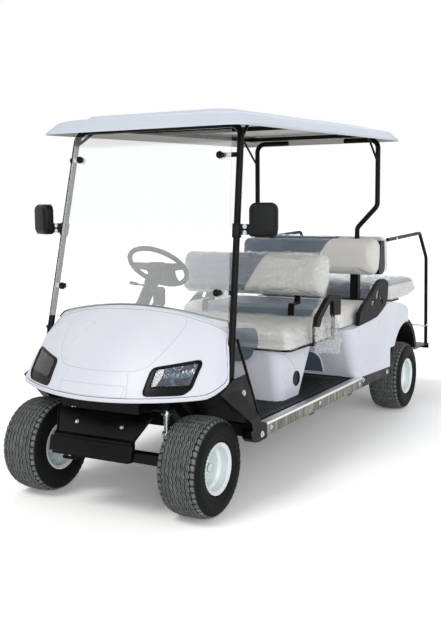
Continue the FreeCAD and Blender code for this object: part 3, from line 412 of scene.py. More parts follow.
for end, side, out in WHEELS:
    node = f"{end}_{side}_tyre"
    centre = middle(node)
    form = bmesh.new()
    tooth = form.verts.layers.float.new("tooth")
    wear = form.verts.layers.float.new("wear")
    rows = [(-x, r, 0.0, 0.0) for x, r in reversed(SIDE_PROFILE)]
    rows += [(x, tread_radius(x) - deep * TREAD_DEPTH, share, 1.0 - deep) for x, deep, share in tread_rows()]
    rows += [(x, r, 0.0, 0.0) for x, r in SIDE_PROFILE]
    ring = []
    for x, r, share, worn_here in rows:
        point = form.verts.new(centre + Vector((x, 0, r)))
        point[tooth], point[wear] = share, worn_here
        ring.append(point)
    edges = [form.edges.new((ring[i], ring[(i + 1) % len(ring)])) for i in range(len(ring))]
    bmesh.ops.spin(form, geom=ring + edges, cent=centre, axis=(1, 0, 0), angle=2 * math.pi,
                   steps=TEETH * STEPS_A_TOOTH, use_merge=True)
    for point in form.verts:
        spoke = Vector((0, point.co.y - centre.y, point.co.z - centre.z))
        step = round(math.atan2(spoke.z, spoke.y) / (2 * math.pi) * TEETH * STEPS_A_TOOTH) % STEPS_A_TOOTH
        if step == STEPS_A_TOOTH - 1 and SHOULDER_FROM < abs(point.co.x - centre.x) < SHOULDER_TO:
            point.co -= spoke.normalized() * NOTCH_DEPTH
            point[wear] = 0.0
        point.co.x += out * TOOTH[step] * point[tooth]
    tyre = finished(f"{end}_{side}_tread", form, tyre_rubber, smooth=40.0, body=f"{end}_{side}_wheel")
    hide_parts(node)

    # The valve: a moulded rubber stem through the rim, and its cap.
    form = bmesh.new()
    spoke = Vector((0, math.cos(VALVE_ANGLE), math.sin(VALVE_ANGLE)))
    foot = centre + Vector((out * -0.004, 0, 0)) + VALVE_R * spoke
    add_turned(form, VALVE_STEM, foot, Vector((out, 0, 0)) - VALVE_LEAN * spoke, steps=16)
    finished(f"{end}_{side}_valve", form, tyre_rubber, smooth=40.0, body=f"{end}_{side}_wheel")

# ---------------------------------------------------------------------------------------------------
# Floor. A steel pan under a black rubber mat moulded with fine ribs along the cart. On each side an
# aluminium angle finishes the edge over a galvanised sill, streaked where the coating ran.
rubber_mat = surface("ribbed_mat_rubber", (0.15, "#131416", "#242628"), (0.04, 0.45, 0.65), specular=0.25)[0]
dress(rubber_mat, "floor_mat")
dress(powder_coat, "floor_pan")

MAT_TOP = 0.366
MAT_RIB = 0.006                 # width of one rib
MAT_PITCH = 0.016
MAT_RISE = 0.0022
MAT_FROM, MAT_TO = 0.39, 1.52   # the ribs' front and rear ends, from the axle


def add_bar(form, low, high, edge=0.0):
    """A bar from one corner to the other, its edges rounded by that much."""
    made = bmesh.ops.create_cube(form, size=1.0)["verts"]
    bmesh.ops.scale(form, vec=[b - a for a, b in zip(low, high)], verts=made)
    bmesh.ops.translate(form, vec=[(a + b) / 2 for a, b in zip(low, high)], verts=made)
    if edge:
        round_off(form, {e for v in made for e in v.link_edges}, edge)


mat_low, mat_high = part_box("floor_mat")
pod_low, pod_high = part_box("front_seat_base")
form = bmesh.new()
ribs = int((mat_high.x - mat_low.x - 0.03) / MAT_PITCH)
for k in range(ribs):
    x = mat_low.x + 0.02 + k * MAT_PITCH
    spans = [(FRONT_AXLE_Y + MAT_FROM, pod_low.y + 0.05), (pod_high.y - 0.17, FRONT_AXLE_Y + MAT_TO)]
    if abs(x) > pod_high.x - 0.02:              # beside the pod a rib runs right through
        spans = [(spans[0][0], spans[1][1])]
    for start, stop in spans:
        add_bar(form, (x - MAT_RIB / 2, start, MAT_TOP - MAT_RISE),
                (x + MAT_RIB / 2, stop, MAT_TOP + MAT_RISE))
finished("floor_mat_ribs", form, rubber_mat, smooth=20.0)

# Galvanised steel: pale zinc spangle, with rusty brown runs down the face.
galvanised, shader, where = surface("galvanised_steel", None, 0.42, metallic=0.7)
stretch = add(galvanised, "Mapping", {"Vector": where, "Scale": (1.0, 1.0, 0.22)})
runs = add(galvanised, "TexNoise", {"Vector": stretch.outputs[0], "Scale": 1 / 0.022, "Detail": 5.0,
                                    "Distortion": 0.4})
add(galvanised, "ValToRGB", {"Fac": runs.outputs["Fac"]}, to=shader.inputs["Base Color"],
    stops=((0.38, "#564F43"), (0.62, "#8F8E87")))
spangle = add(galvanised, "TexVoronoi", {"Vector": where, "Scale": 1 / 0.009})
add(galvanised, "Bump", {"Height": spangle.outputs["Distance"], "Distance": 0.0003},
    to=shader.inputs["Normal"])
dress(galvanised, "side_sills")

# Mill-finish aluminium: bright, brushed along its length.
aluminium, shader, where = surface("brushed_aluminium", "#DDDFE0", 0.3, metallic=1.0)
lines = add(aluminium, "Mapping", {"Vector": where, "Scale": (1.0, 0.02, 1.0)})
brushed = add(aluminium, "TexNoise", {"Vector": lines.outputs[0], "Scale": 1 / 0.0015, "Detail": 2.0})
add(aluminium, "Bump", {"Height": brushed.outputs["Fac"], "Distance": 0.0002}, to=shader.inputs["Normal"])

SILL_LIP_T, SILL_LIP_WIDE, SILL_LIP_DROP = 0.002, 0.040, 0.011
sill_low, sill_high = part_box("side_sills")

angles, bolts = bmesh.new(), bmesh.new()
for out in (-1, 1):
    for inner, low, high in ((sill_high.x - SILL_LIP_WIDE, sill_high.z, sill_high.z + SILL_LIP_T),
                             (sill_high.x, sill_high.z - SILL_LIP_DROP, sill_high.z + SILL_LIP_T / 2)):
        near, far = sorted((out * inner, out * (sill_high.x + SILL_LIP_T)))
        add_bar(angles, (near, sill_low.y, low), (far, sill_high.y, high), 0.0008)
    for share in (0.04, 0.5, 0.96):
        spot = sill_low.lerp(sill_high, share)
        add_bolt(bolts, (out * sill_high.x, spot.y, (sill_low.z + sill_high.z) / 2), (out, 0, 0), 0.010)
finished("sill_edge_angles", angles, aluminium, smooth=25.0)
finished("sill_bolts", bolts, zinc_plate, smooth=25.0)

# Pedals: black rubber pads on steel arms. Battery: one block of polypropylene cases.
dress(rubber_mat, "pedals")
battery_plastic = surface("battery_polypropylene", (0.1, "#1F2225", "#2D3034"), 0.5, specular=0.4)[0]
dress(battery_plastic, "battery_pack")

# ---------------------------------------------------------------------------------------------------
# Body shells. Cowl, seat pod and rear body are vacuum-formed ABS sheet with a glossy white acrylic face:
# a cool white, with long soft waves in the sheet where it drew over the mould.
white_shell = surface("white_gloss_abs", (0.5, "#DEE3ED", "#E7EBF3"), (0.08, 0.26, 0.38), specular=0.3,
                      relief=(0.05, 0.0005, 1.0))[0]
dress(white_shell, "front_cowl", "front_seat_base", "rear_body")

# Grained black ABS, with a leather grain of about 1.5 mm, drawn at 2.5 mm.
GRAIN = (0.0025, 0.0003, None)
black_moulding = surface("grained_black_abs", (0.15, "#090A0B", "#0F1113"), 0.42, specular=0.17,
                         relief=GRAIN)[0]
dress(black_moulding, "dash_panel", "seat_back_shell", "front_seat_deck", "steering_wheel",
      "windshield_knobs", "mirrors")

# Plain black polypropylene, blacker and duller: splash panel, wheel well liners and hip guards.
dull_black = surface("matt_black_polypropylene", (0.1, "#060607", "#0D0E0F"), 0.6, specular=0.2)[0]
dress(dull_black, "front_underbody", "wheel_well_liners", "hip_guards")

# ---------------------------------------------------------------------------------------------------
# Cowl details. A rubber gasket closes the gap under the windshield and the bonnet's seam runs below it.
# A panel outline, a blank number plate field and a rolled lip are moulded in the white sheet.
SIDES = (("left", 1), ("right", -1))            # name, sign of x
gasket_rubber = surface("gasket_rubber", (0.03, "#09090A", "#131314"), 0.5, specular=0.3)[0]
# Dark grey for the bonnet's seam gap, and as painted shade in the line along the rolled lip.
seam_shadow = surface("seam_gap_grey", (0.05, "#646970", "#7A7F86"), 0.6, specular=0.2)[0]
# Shallow moulded grooves in the sheet, drawn as grey lines of painted shade where less light reaches.
groove_shade = surface("moulded_groove_painted_shade", (0.05, "#C2C8D2", "#D0D5DE"), 0.5, specular=0.2)[0]


def first_hit(nodes, start, along):
    """The first place where a line meets any of those CAD nodes, and the normal there, or two Nones."""
    casts = [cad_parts[node].ray_cast(start, along)[:3] for node in nodes]
    hits = [((place - start).length, place, normal) for found, place, normal in casts if found]
    return min(hits)[1:] if hits else (None, None)


def cast(x, z, nodes=("front_cowl",)):
    """What is seen from ahead at that x and height: the place and its normal."""
    return first_hit(nodes, Vector((x, cad_low.y - 1.0, z)), Vector((0, 1, 0)))


def smooth_line(points, step, closed=False):
    """Points about that far apart along a smooth line through (x, z) points."""
    line = []
    count = len(points)
    for i in range(count if closed else count - 1):
        near = (i - 1, i, i + 1, i + 2)
        p = [Vector(points[j % count] if closed else points[max(0, min(count - 1, j))]) for j in near]
        parts = max(2, round((p[2] - p[1]).length / step))
        for k in range(parts):
            t = k / parts
            line.append(0.5 * (2 * p[1] + (p[2] - p[0]) * t + (2 * p[0] - 5 * p[1] + 4 * p[2] - p[3]) * t * t
                               + (3 * p[1] - p[0] - 3 * p[2] + p[3]) * t ** 3))
    return line if closed else line + [Vector(points[-1])]


def tube(line, radius, closed=False, sides=2):
    """A round tube along a line of places, as a bmesh, its ends filled."""
    curve = bpy.data.curves.new("tube_line", "CURVE")
    curve.dimensions = "3D"
    spline = curve.splines.new("POLY")
    spline.points.add(len(line) - 1)
    for point, spot in zip(spline.points, line):
        point.co = (*spot, 1.0)
    spline.use_cyclic_u = closed
    curve.bevel_depth = radius
    curve.bevel_resolution = sides
    curve.use_fill_caps = not closed
    holder = bpy.data.objects.new("tube_line", curve)
    form = bmesh.new()
    form.from_mesh(bpy.data.meshes.new_from_object(holder))
    bpy.data.objects.remove(holder)
    return form


def add_part(form, part):
    """Adds one bmesh to another, and frees it."""
    mesh = bpy.data.meshes.new("part")
    part.to_mesh(mesh)
    part.free()
    form.from_mesh(mesh)
    bpy.data.meshes.remove(mesh)


BEAD_STEP = 0.008


def laid_on_front(points, radius, proud, closed=False, nodes=("front_cowl",)):
    """A bead along (x, z) points on a front face, its centre that far outside the face."""
    hits = [cast(spot.x, spot.y, nodes) for spot in smooth_line(points, BEAD_STEP, closed)]
    return tube([place + normal * proud for place, normal in hits if place is not None], radius, closed)


def rounded_ring(corners, steps=5):
    """Points round a polygon of (x, z, corner radius), its corners rounded."""
    ring = []
    count = len(corners)
    for i, (x, z, r) in enumerate(corners):
        here = Vector((x, z))
        to_last = (Vector(corners[i - 1][:2]) - here).normalized()
        to_next = (Vector(corners[(i + 1) % count][:2]) - here).normalized()
        half = to_last.angle(to_next) / 2
        cut = r / math.tan(half)
        centre = here + (to_last + to_next).normalized() * r / math.sin(half)
        start, stop = here + to_last * cut - centre, here + to_next * cut - centre
        ring += [tuple(centre + r * start.slerp(stop, k / steps)) for k in range(steps + 1)]
    return ring


def mirrored_points(half):
    """(x, z) points given for x below zero and up to the middle, continued on the other side."""
    return half + [(-x, z) for x, z in reversed(half) if x < 0]


SEAM = mirrored_points([(-0.500, 0.812), (-0.470, 0.832), (-0.420, 0.852), (-0.360, 0.868), (-0.280, 0.886),
                        (-0.200, 0.896), (-0.100, 0.903), (0.0, 0.905)])
PANEL = mirrored_points([(-0.300, 0.878), (-0.318, 0.850), (-0.312, 0.805), (-0.294, 0.762), (-0.269, 0.717),
                         (-0.240, 0.683), (-0.190, 0.664), (-0.110, 0.659), (0.0, 0.657)])
PLATE_TOP, PLATE_LOW, PLATE_HALF, PLATE_R = 0.602, 0.556, 0.171, 0.006
PLATE = rounded_ring([(PLATE_HALF, PLATE_TOP, PLATE_R), (-PLATE_HALF, PLATE_TOP, PLATE_R),
                      (-PLATE_HALF, PLATE_LOW, PLATE_R), (PLATE_HALF, PLATE_LOW, PLATE_R)], steps=2)
PLATE_SIDE = [(0.192, 0.553), (0.186, 0.585), (0.176, 0.622), (0.166, 0.652)]
finished("bonnet_seam", laid_on_front(SEAM, 0.0013, -0.0007), seam_shadow, smooth=60.0)
finished("bonnet_outline", laid_on_front(PANEL, 0.0022, -0.0014), groove_shade, smooth=60.0)
finished("number_plate_field", laid_on_front(PLATE, 0.0018, -0.0011, closed=True), groove_shade,
         smooth=60.0)
for side, out in reversed(SIDES):
    edge = [(out * x, z) for x, z in PLATE_SIDE]
    finished(f"{side}_plate_edge", laid_on_front(edge, 0.0020, -0.0012), groove_shade,
             smooth=60.0)


def edge_of(meets, inside, outside):
    """The last value, going from inside to outside, at which a line still meets the sheet."""
    for _ in range(12):
        mid = (inside + outside) / 2
        if meets(mid)[0] is None:
            outside = mid
        else:
            inside = mid
    return inside


GASKET_HALF = 0.490
GASKET_STEPS = 48
crown = []
for k in range(-GASKET_STEPS, GASKET_STEPS + 1):
    x = GASKET_HALF * k / GASKET_STEPS
    top = edge_of(lambda z: cast(x, z), 0.80, 0.94)
    crown.append(cast(x, top - 0.001)[0] + Vector((0, 0.003, 0.002)))
finished("cowl_gasket", tube(crown, 0.0055), gasket_rubber, smooth=60.0)


def from_side(angle, z):
    """The cowl's outside at a height, seen level from that angle off dead ahead."""
    heart = Vector((0, FRONT_AXLE_Y + 0.22, z))
    out = Vector((math.sin(angle), -math.cos(angle), 0))
    place, normal = first_hit(("front_cowl", "headlamp_bezels", "headlamp_lenses"), heart + out * 1.2, -out)
    return (place, normal) if place is not None and (place - heart).dot(out) > 0.1 else (None, None)


LIP_REACH = math.radians(82.0)  # how far round the nose the lip goes, from dead ahead
LIP_STEPS = 40
# A white bead along the lip's foot, and above it a dark grey line of painted shade where the rolled lip turns
# down away from the light.
lip, lip_painted_shade = [], []
for k in range(-LIP_STEPS, LIP_STEPS + 1):
    angle = LIP_REACH * k / LIP_STEPS
    foot = edge_of(lambda z: from_side(angle, z), 0.78, 0.50)
    for line, up, deep in ((lip, 0.002, 0.0015), (lip_painted_shade, 0.015, 0.0012)):
        place, normal = from_side(angle, foot + up)
        if place is not None:
            line.append(place - normal * deep)
finished("cowl_lip", tube(lip, 0.0055, sides=3), white_shell, smooth=60.0)
finished("cowl_lip_shade_line", tube(lip_painted_shade, 0.0022), seam_shadow, smooth=60.0)

# ---------------------------------------------------------------------------------------------------
# Headlamps. Black bezels with a rounded rim, a clear polycarbonate cover, and behind it a bright
# metallised bowl with two round reflectors between fluted sides and a hooded bulb in each.
bezel_black = surface("gloss_black_bezel", (0.06, "#050506", "#0A0B0D"), 0.25, specular=0.15)[0]
dress(bezel_black, "headlamp_bezels")

# The reflector's metal is tinted darker and bluer than bare metallising: a painted reflection of cool, dim
# surroundings.
lamp_chrome = surface("metallised_reflector", (0.02, "#8794A6", "#A9B5C4"), 0.1, metallic=1.0)[0]

# Moulded clear cover: mostly clear, bright at a glancing view.
lamp_cover, surface_end = empty_material("clear_polycarbonate")
glance = add(lamp_cover, "Fresnel", {"IOR": 1.55})
clear = add(lamp_cover, "BsdfTransparent", {"Color": colour("#F2F5F7")})
gloss = add(lamp_cover, "BsdfGlossy", {"Color": colour("#FFFFFF"), "Roughness": 0.04})
add(lamp_cover, "MixShader", {0: glance.outputs[0], 1: clear.outputs[0], 2: gloss.outputs[0]}, to=surface_end)
dress(lamp_cover, "headlamp_lenses")

LENS_CORNERS = [(0.286, 0.673, 0.016), (0.449, 0.703, 0.010), (0.440, 0.612, 0.002), (0.286, 0.603, 0.008)]
LENS = [corner[:2] for corner in LENS_CORNERS]
LENS_HEART = sum((Vector(corner) for corner in LENS), Vector((0, 0))) / len(LENS)
LENS_WIDE, LENS_TALL = 0.158, 0.080
BEZEL = [(0.262, 0.679, 0.026), (0.463, 0.716, 0.020), (0.456, 0.600, 0.040), (0.430, 0.572, 0.040),
         (0.258, 0.566, 0.018)]
BOWLS = [(0.27, 0.45, 0.036), (0.70, 0.45, 0.040)]      # share across, share up, radius
BOWL_DEPTH = 0.030
SHELF, SHELF_DEPTH = 0.012, 0.016               # behind the cover at its rim, and how much deeper inside
FLUTE = 0.0016                  # depth of the fluting
FLUTES = 16
COLUMNS, ROWS = 64, 28
BULB = [(0.0, 0.0), (0.0, 0.010), (0.006, 0.0105), (0.012, 0.0085), (0.015, 0.005), (0.016, 0.0)]
BULB_BEHIND = 0.034             # the bulb's foot, behind the cover
LAMP_FACES = ("headlamp_lenses", "headlamp_bezels", "front_cowl")


def on_cover(u, v):
    """The (x, z) place on the left lamp's cover at those shares of its width and height."""
    foot, top = Vector(LENS[3]).lerp(Vector(LENS[2]), u), Vector(LENS[0]).lerp(Vector(LENS[1]), u)
    return foot.lerp(top, v)


def drawn_in(ring, by):
    """A ring of (x, z) points drawn towards its middle by that much, or pushed out if it is negative."""
    heart = sum((Vector(spot) for spot in ring), Vector((0, 0))) / len(ring)
    return [heart + (Vector(spot) - heart) * (1 - by / (Vector(spot) - heart).length) for spot in ring]


for side, out in SIDES:
    form = bmesh.new()
    for point in bmesh.ops.create_grid(form, x_segments=COLUMNS, y_segments=ROWS, size=0.5)["verts"]:
        u, v = point.co.x + 0.5, point.co.y + 0.5
        spot = on_cover(u, v)
        face, pull = None, 0.0
        while face is None:                         # past the narrow gap round the cover
            near = spot.lerp(LENS_HEART, pull)
            face = cast(out * near.x, near.y, LAMP_FACES)[0]
            pull += 0.02
        rim = min(u, 1 - u, v, 1 - v)
        deep = SHELF + SHELF_DEPTH * min(1.0, rim / 0.08)
        for across, up, radius in BOWLS:
            gap = math.hypot((u - across) * LENS_WIDE, (v - up) * LENS_TALL) / radius
            deep += BOWL_DEPTH * max(0.0, 1.0 - gap * gap)
        deep += FLUTE * math.cos(u * 2 * math.pi * FLUTES) * min(1.0, rim / 0.1)
        point.co = Vector((out * spot.x, face.y + deep, spot.y))
    finished(f"{side}_reflector", form, lamp_chrome, smooth=50.0)

    # A hooded bulb in front of each bowl.
    form = bmesh.new()
    for across, up, _ in BOWLS:
        spot = on_cover(across, up)
        face = cast(out * spot.x, spot.y, LAMP_FACES)[0]
        add_turned(form, BULB, face + Vector((0, BULB_BEHIND, 0)), (0, -1, 0), steps=20)
    finished(f"{side}_lamp_bulbs", form, lamp_chrome, smooth=50.0)

    # Rounded rims: round the bezel where it meets the cowl, and round the cover.
    form = bmesh.new()
    for corners, by, radius in ((BEZEL, 0.004, 0.0048), (LENS_CORNERS, -0.003, 0.0034)):
        ring = [(out * x, z) for x, z in drawn_in(rounded_ring(corners), by)]
        add_part(form, laid_on_front(ring, radius, 0.0, closed=True, nodes=LAMP_FACES))
    finished(f"{side}_lamp_rims", form, bezel_black, smooth=60.0)

# ---------------------------------------------------------------------------------------------------
# Bumper. A folded and powder-coated steel panel with a stiffening panel pressed out of its skirt, flanges
# down both sides, two bright dome-head bolts in its accessory holes and two bolts under its edge.
BUMPER_SLOPE = (Vector((0, -0.192, 0.362)), Vector((0, -0.110, 0.458)))    # upper face, from the axle
SKIRT = (Vector((0, -0.238, 0.268)), Vector((0, -0.216, 0.356)))
SKIRT_HALF, SKIRT_PANEL, SKIRT_RISE = 0.228, 0.070, 0.007
DOME_BOLT = [(0.0, 0.0), (0.0, 0.010), (0.0015, 0.010), (0.0015, 0.0075), (0.0045, 0.0062), (0.0062, 0.0030),
             (0.0066, 0.0)]
BUMPER_BOLT_X, DOME_BOLT_UP = 0.126, 0.405
LOWER_BOLT = (-0.214, 0.264)                    # from the axle, height
FLANGE = [(0.262, -0.116, 0.452), (0.214, -0.190, 0.366), (0.209, -0.213, 0.354), (0.207, -0.235, 0.268)]
AXLE_SPOT = Vector((0, FRONT_AXLE_Y, 0))


def face_turn(foot, top):
    """The turn of something built lying flat, facing +Z, onto a face across the cart, its head uppermost."""
    up = (top - foot).normalized()
    across = Vector((1, 0, 0))
    return Matrix((across, up, across.cross(up))).transposed().to_4x4()


form = bmesh.new()
add_bar(form, (-SKIRT_HALF, -SKIRT_PANEL / 2, -SKIRT_RISE), (SKIRT_HALF, SKIRT_PANEL / 2, SKIRT_RISE))
round_off(form, [e for e in form.edges if min(v.co.z for v in e.verts) > 0], 0.006, segments=3)
place = Matrix.Translation(AXLE_SPOT + (SKIRT[0] + SKIRT[1]) / 2) @ face_turn(*SKIRT)
bmesh.ops.transform(form, matrix=place, verts=form.verts)
finished("bumper_skirt_panel", form, powder_coat, smooth=30.0)

slope_out = face_turn(*BUMPER_SLOPE) @ Vector((0, 0, 1))
share = (DOME_BOLT_UP - BUMPER_SLOPE[0].z) / (BUMPER_SLOPE[1].z - BUMPER_SLOPE[0].z)
bolts, flanges = bmesh.new(), bmesh.new()
for out in (-1, 1):
    beside = AXLE_SPOT + Vector((out * BUMPER_BOLT_X, 0, 0))
    add_turned(bolts, DOME_BOLT, beside + BUMPER_SLOPE[0].lerp(BUMPER_SLOPE[1], share), slope_out, steps=20)
    add_bolt(bolts, beside + Vector((0, *LOWER_BOLT)), (0, 0, -1), 0.011)
    add_part(flanges, tube([Vector((out * x, y, z)) + AXLE_SPOT for x, y, z in FLANGE], 0.0042))
finished("bumper_bolts", bolts, zinc_plate, smooth=30.0)
finished("bumper_flanges", flanges, powder_coat, smooth=40.0)

# ---------------------------------------------------------------------------------------------------
# Roof. Satin weatherable ABS, duller than the cowl so that its top doesn't dazzle; its white is painted
# darker and cooler than the cowl's: painted shade with a blue cast.
roof_abs = surface("satin_white_abs", (0.6, "#CFD7E4", "#DCE2ED"), 0.45, specular=0.15)[0]
dress(roof_abs, "roof_panel")

# Roof liner. The underside of the roof is the back of the same ABS sheet, unpainted: a warm cream-grey
# with a matt face. It is drawn as a thin sheet under the shell, inside its rim.
liner_back = surface("unpainted_abs_back", (0.25, "#C9C5BA", "#D9D6CD"), 0.5, specular=0.3)[0]

LINER_T = 0.0015
LINER_ABOVE_RIM = 0.006
RIM_CLIMB = math.tan(math.radians(1.1))
FACING_DOWN = -0.3              # the most that a normal's z may be on the underside
roof_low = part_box("roof_panel")[0]
form = bmesh.new()
form.from_mesh(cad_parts["roof_panel"].data)
bmesh.ops.remove_doubles(form, verts=form.verts, dist=1e-5)
form.normal_update()


def above_rim(spot):
    """How far a place is above the roof's lower rim, which climbs towards the back."""
    return spot.z - roof_low.z - RIM_CLIMB * (spot.y - roof_low.y)


rest = [f for f in form.faces
        if f.normal.z > FACING_DOWN or above_rim(f.calc_center_median()) < LINER_ABOVE_RIM]
bmesh.ops.delete(form, geom=rest, context="FACES")
bmesh.ops.solidify(form, geom=form.faces[:], thickness=-LINER_T)
finished("roof_liner", form, liner_back, smooth=40.0)

# ---------------------------------------------------------------------------------------------------
# Windshield. One acrylic sheet, 5 mm thick, clamped to the hoop by four black plastic screw knobs, each
# with a glossy cap, gripping ribs and a spring clip of bent steel strip behind the sheet. The sheet is
# weathered: it passes two thirds of the light and mirrors its pale surroundings as a soft haze.
clear_acrylic, surface_end = empty_material("hazed_clear_acrylic")
where = add(clear_acrylic, "TexCoord").outputs["Object"]
haze = add(clear_acrylic, "TexNoise", {"Vector": where, "Scale": 1 / 0.25, "Detail": 2.0})
share = add(clear_acrylic, "MapRange", {"Value": haze.outputs["Fac"], "From Min": CLOUD_LOW,
                                        "From Max": CLOUD_HIGH, "To Min": 0.18, "To Max": 0.20})
clear = add(clear_acrylic, "BsdfTransparent", {"Color": colour("#FFFFFF")})
gloss = add(clear_acrylic, "BsdfGlossy", {"Color": colour("#FCFEFF"), "Roughness": 0.14})
add(clear_acrylic, "MixShader", {0: share.outputs[0], 1: clear.outputs[0], 2: gloss.outputs[0]},
    to=surface_end)
dress(clear_acrylic, "windshield")

KNOB_SPOTS = [(out * x, z) for out in (-1, 1) for x, z in ((0.403, 1.622), (0.445, 0.997))]
KNOB_CAP = [(-0.001, 0.0), (-0.001, 0.0118), (0.0012, 0.0122), (0.0022, 0.0112), (0.0008, 0.0098),
            (0.0008, 0.0084), (0.0030, 0.0066), (0.0042, 0.0034), (0.0046, 0.0)]
KNOB_RIB = [(0.0, 0.0), (0.0, 0.0014), (0.010, 0.0014), (0.0105, 0.0)]
KNOB_RIBS, RIB_CIRCLE_R, RIB_BEHIND = 16, 0.0162, 0.0015
CLIP_FROM, CLIP_TO, CLIP_HALF = 0.014, 0.050, 0.011     # reach outwards from the knob, half height
CLIP_BEHIND, CLIP_T = 0.0055, 0.0025                    # behind the sheet's outer face, thickness
caps, ribs, clips = bmesh.new(), bmesh.new(), bmesh.new()
for x, z in KNOB_SPOTS:
    out = math.copysign(1, x)
    face = cast(x, z, ("windshield_knobs",))[0]
    add_turned(caps, KNOB_CAP, face, (0, -1, 0), steps=24)
    for k in range(KNOB_RIBS):
        angle = 2 * math.pi * k / KNOB_RIBS
        spoke = Vector((RIB_CIRCLE_R * math.cos(angle), RIB_BEHIND, RIB_CIRCLE_R * math.sin(angle)))
        add_turned(ribs, KNOB_RIB, face + spoke, (0, 1, 0), steps=6)
    sheet_y = cast(x + out * 0.015, z, ("windshield",))[0].y + CLIP_BEHIND
    near, far = sorted((x + out * CLIP_FROM, x + out * CLIP_TO))
    add_bar(clips, (near, sheet_y, z - CLIP_HALF), (far, sheet_y + CLIP_T, z + CLIP_HALF), 0.001)
finished("windshield_knob_caps", caps, bezel_black)
finished("windshield_knob_ribs", ribs, black_moulding)
finished("windshield_clips", clips, zinc_plate, smooth=30.0)

# ---------------------------------------------------------------------------------------------------
# Mirrors. Black grained heads with a soft rounded back and a silvered glass that faces the driver, each
# on a stalk bolted to a clamp round the post.
MIRROR_X, MIRROR_Y = 0.633, FRONT_AXLE_Y + 0.260
MIRROR_TURN = math.radians(23.0)
MIRROR_Z = (1.250, 1.401)
HEAD_HALF_T = 0.017
HEAD_SIZE = (0.131, 0.050, 0.155)               # width, depth and height of a head's shell
GLASS_SIZE = (0.104, 0.003, 0.128)
CLAMP_X, CLAMP_BEHIND = 0.545, 0.244            # where the clamp's bolts are, from the axle
CLAMP_BOLTS = (1.268, 1.296)
silvered_glass = surface("silvered_mirror_glass", (0.1, "#BAC4CB", "#CAD2D7"), 0.05, metallic=1.0)[0]


def mirror_place(out):
    """From a mirror head's own axes, across and out of its back, to the cart's."""
    return (Matrix.Translation((out * MIRROR_X, MIRROR_Y, (MIRROR_Z[0] + MIRROR_Z[1]) / 2))
            @ Matrix.Rotation(out * MIRROR_TURN, 4, "Z"))


def mirror_slab(size, corner_r, segments, middle_y):
    """A slab in a mirror head's own axes, its four corners rounded."""
    form = bmesh.new()
    add_bar(form, [-part / 2 for part in size], [part / 2 for part in size])
    corners = [e for e in form.edges if abs(e.verts[0].co.y - e.verts[1].co.y) > size[1] / 2]
    round_off(form, corners, corner_r, segments)
    bmesh.ops.translate(form, vec=(0, middle_y, 0), verts=form.verts)
    return form


for side, out in SIDES:
    # The shell round the head: a rounded slab whose front swells into a soft dome.
    middle_y = HEAD_HALF_T + 0.001 - HEAD_SIZE[1] / 2
    form = mirror_slab(HEAD_SIZE, 0.034, 8, middle_y)
    round_off(form, [e for e in form.edges if max(v.co.y for v in e.verts) < middle_y], 0.024, segments=6)
    bmesh.ops.transform(form, matrix=mirror_place(out), verts=form.verts)
    finished(f"{side}_mirror_shell", form, black_moulding, smooth=50.0)

    form = mirror_slab(GLASS_SIZE, 0.022, 6, HEAD_HALF_T + 0.002)
    bmesh.ops.transform(form, matrix=mirror_place(out), verts=form.verts)
    finished(f"{side}_mirror_glass", form, silvered_glass, smooth=50.0)

form = bmesh.new()
for out in (-1, 1):
    for up in CLAMP_BOLTS:
        add_bolt(form, (out * CLAMP_X, FRONT_AXLE_Y + CLAMP_BEHIND, up), (0, -1, 0), 0.010)
finished("mirror_bolts", form, zinc_plate, smooth=30.0)

# ---------------------------------------------------------------------------------------------------
# Front seat pod. A white rim moulded round the front of its sides, and a black push-in cap in each round
# recess.
POD_RIM = [(0.306, 0.749, 0.623), (0.336, 0.746, 0.636), (0.422, 0.749, 0.638), (0.454, 0.778, 0.631),
           (0.462, 0.845, 0.610), (0.462, 0.907, 0.579), (0.462, 0.951, 0.540), (0.462, 0.970, 0.509)]
PORT = (0.985, 0.462)           # from the axle, height
PORT_CAP = [(-0.007, 0.0), (-0.007, 0.0366), (0.0, 0.0372), (0.0, 0.0410), (0.003, 0.0412), (0.0048, 0.0395),
            (0.0046, 0.0350), (0.0, 0.0330), (-0.002, 0.0240), (-0.003, 0.0)]
rims, caps = bmesh.new(), bmesh.new()
for out in (-1, 1):
    add_part(rims, tube([Vector((out * x, y, z)) + AXLE_SPOT for x, y, z in POD_RIM], 0.005, sides=3))
    add_turned(caps, PORT_CAP, (out * pod_high.x, FRONT_AXLE_Y + PORT[0], PORT[1]), (out, 0, 0), steps=40)
finished("pod_rims", rims, white_shell, smooth=60.0)
finished("pod_port_caps", caps, black_moulding, smooth=40.0)

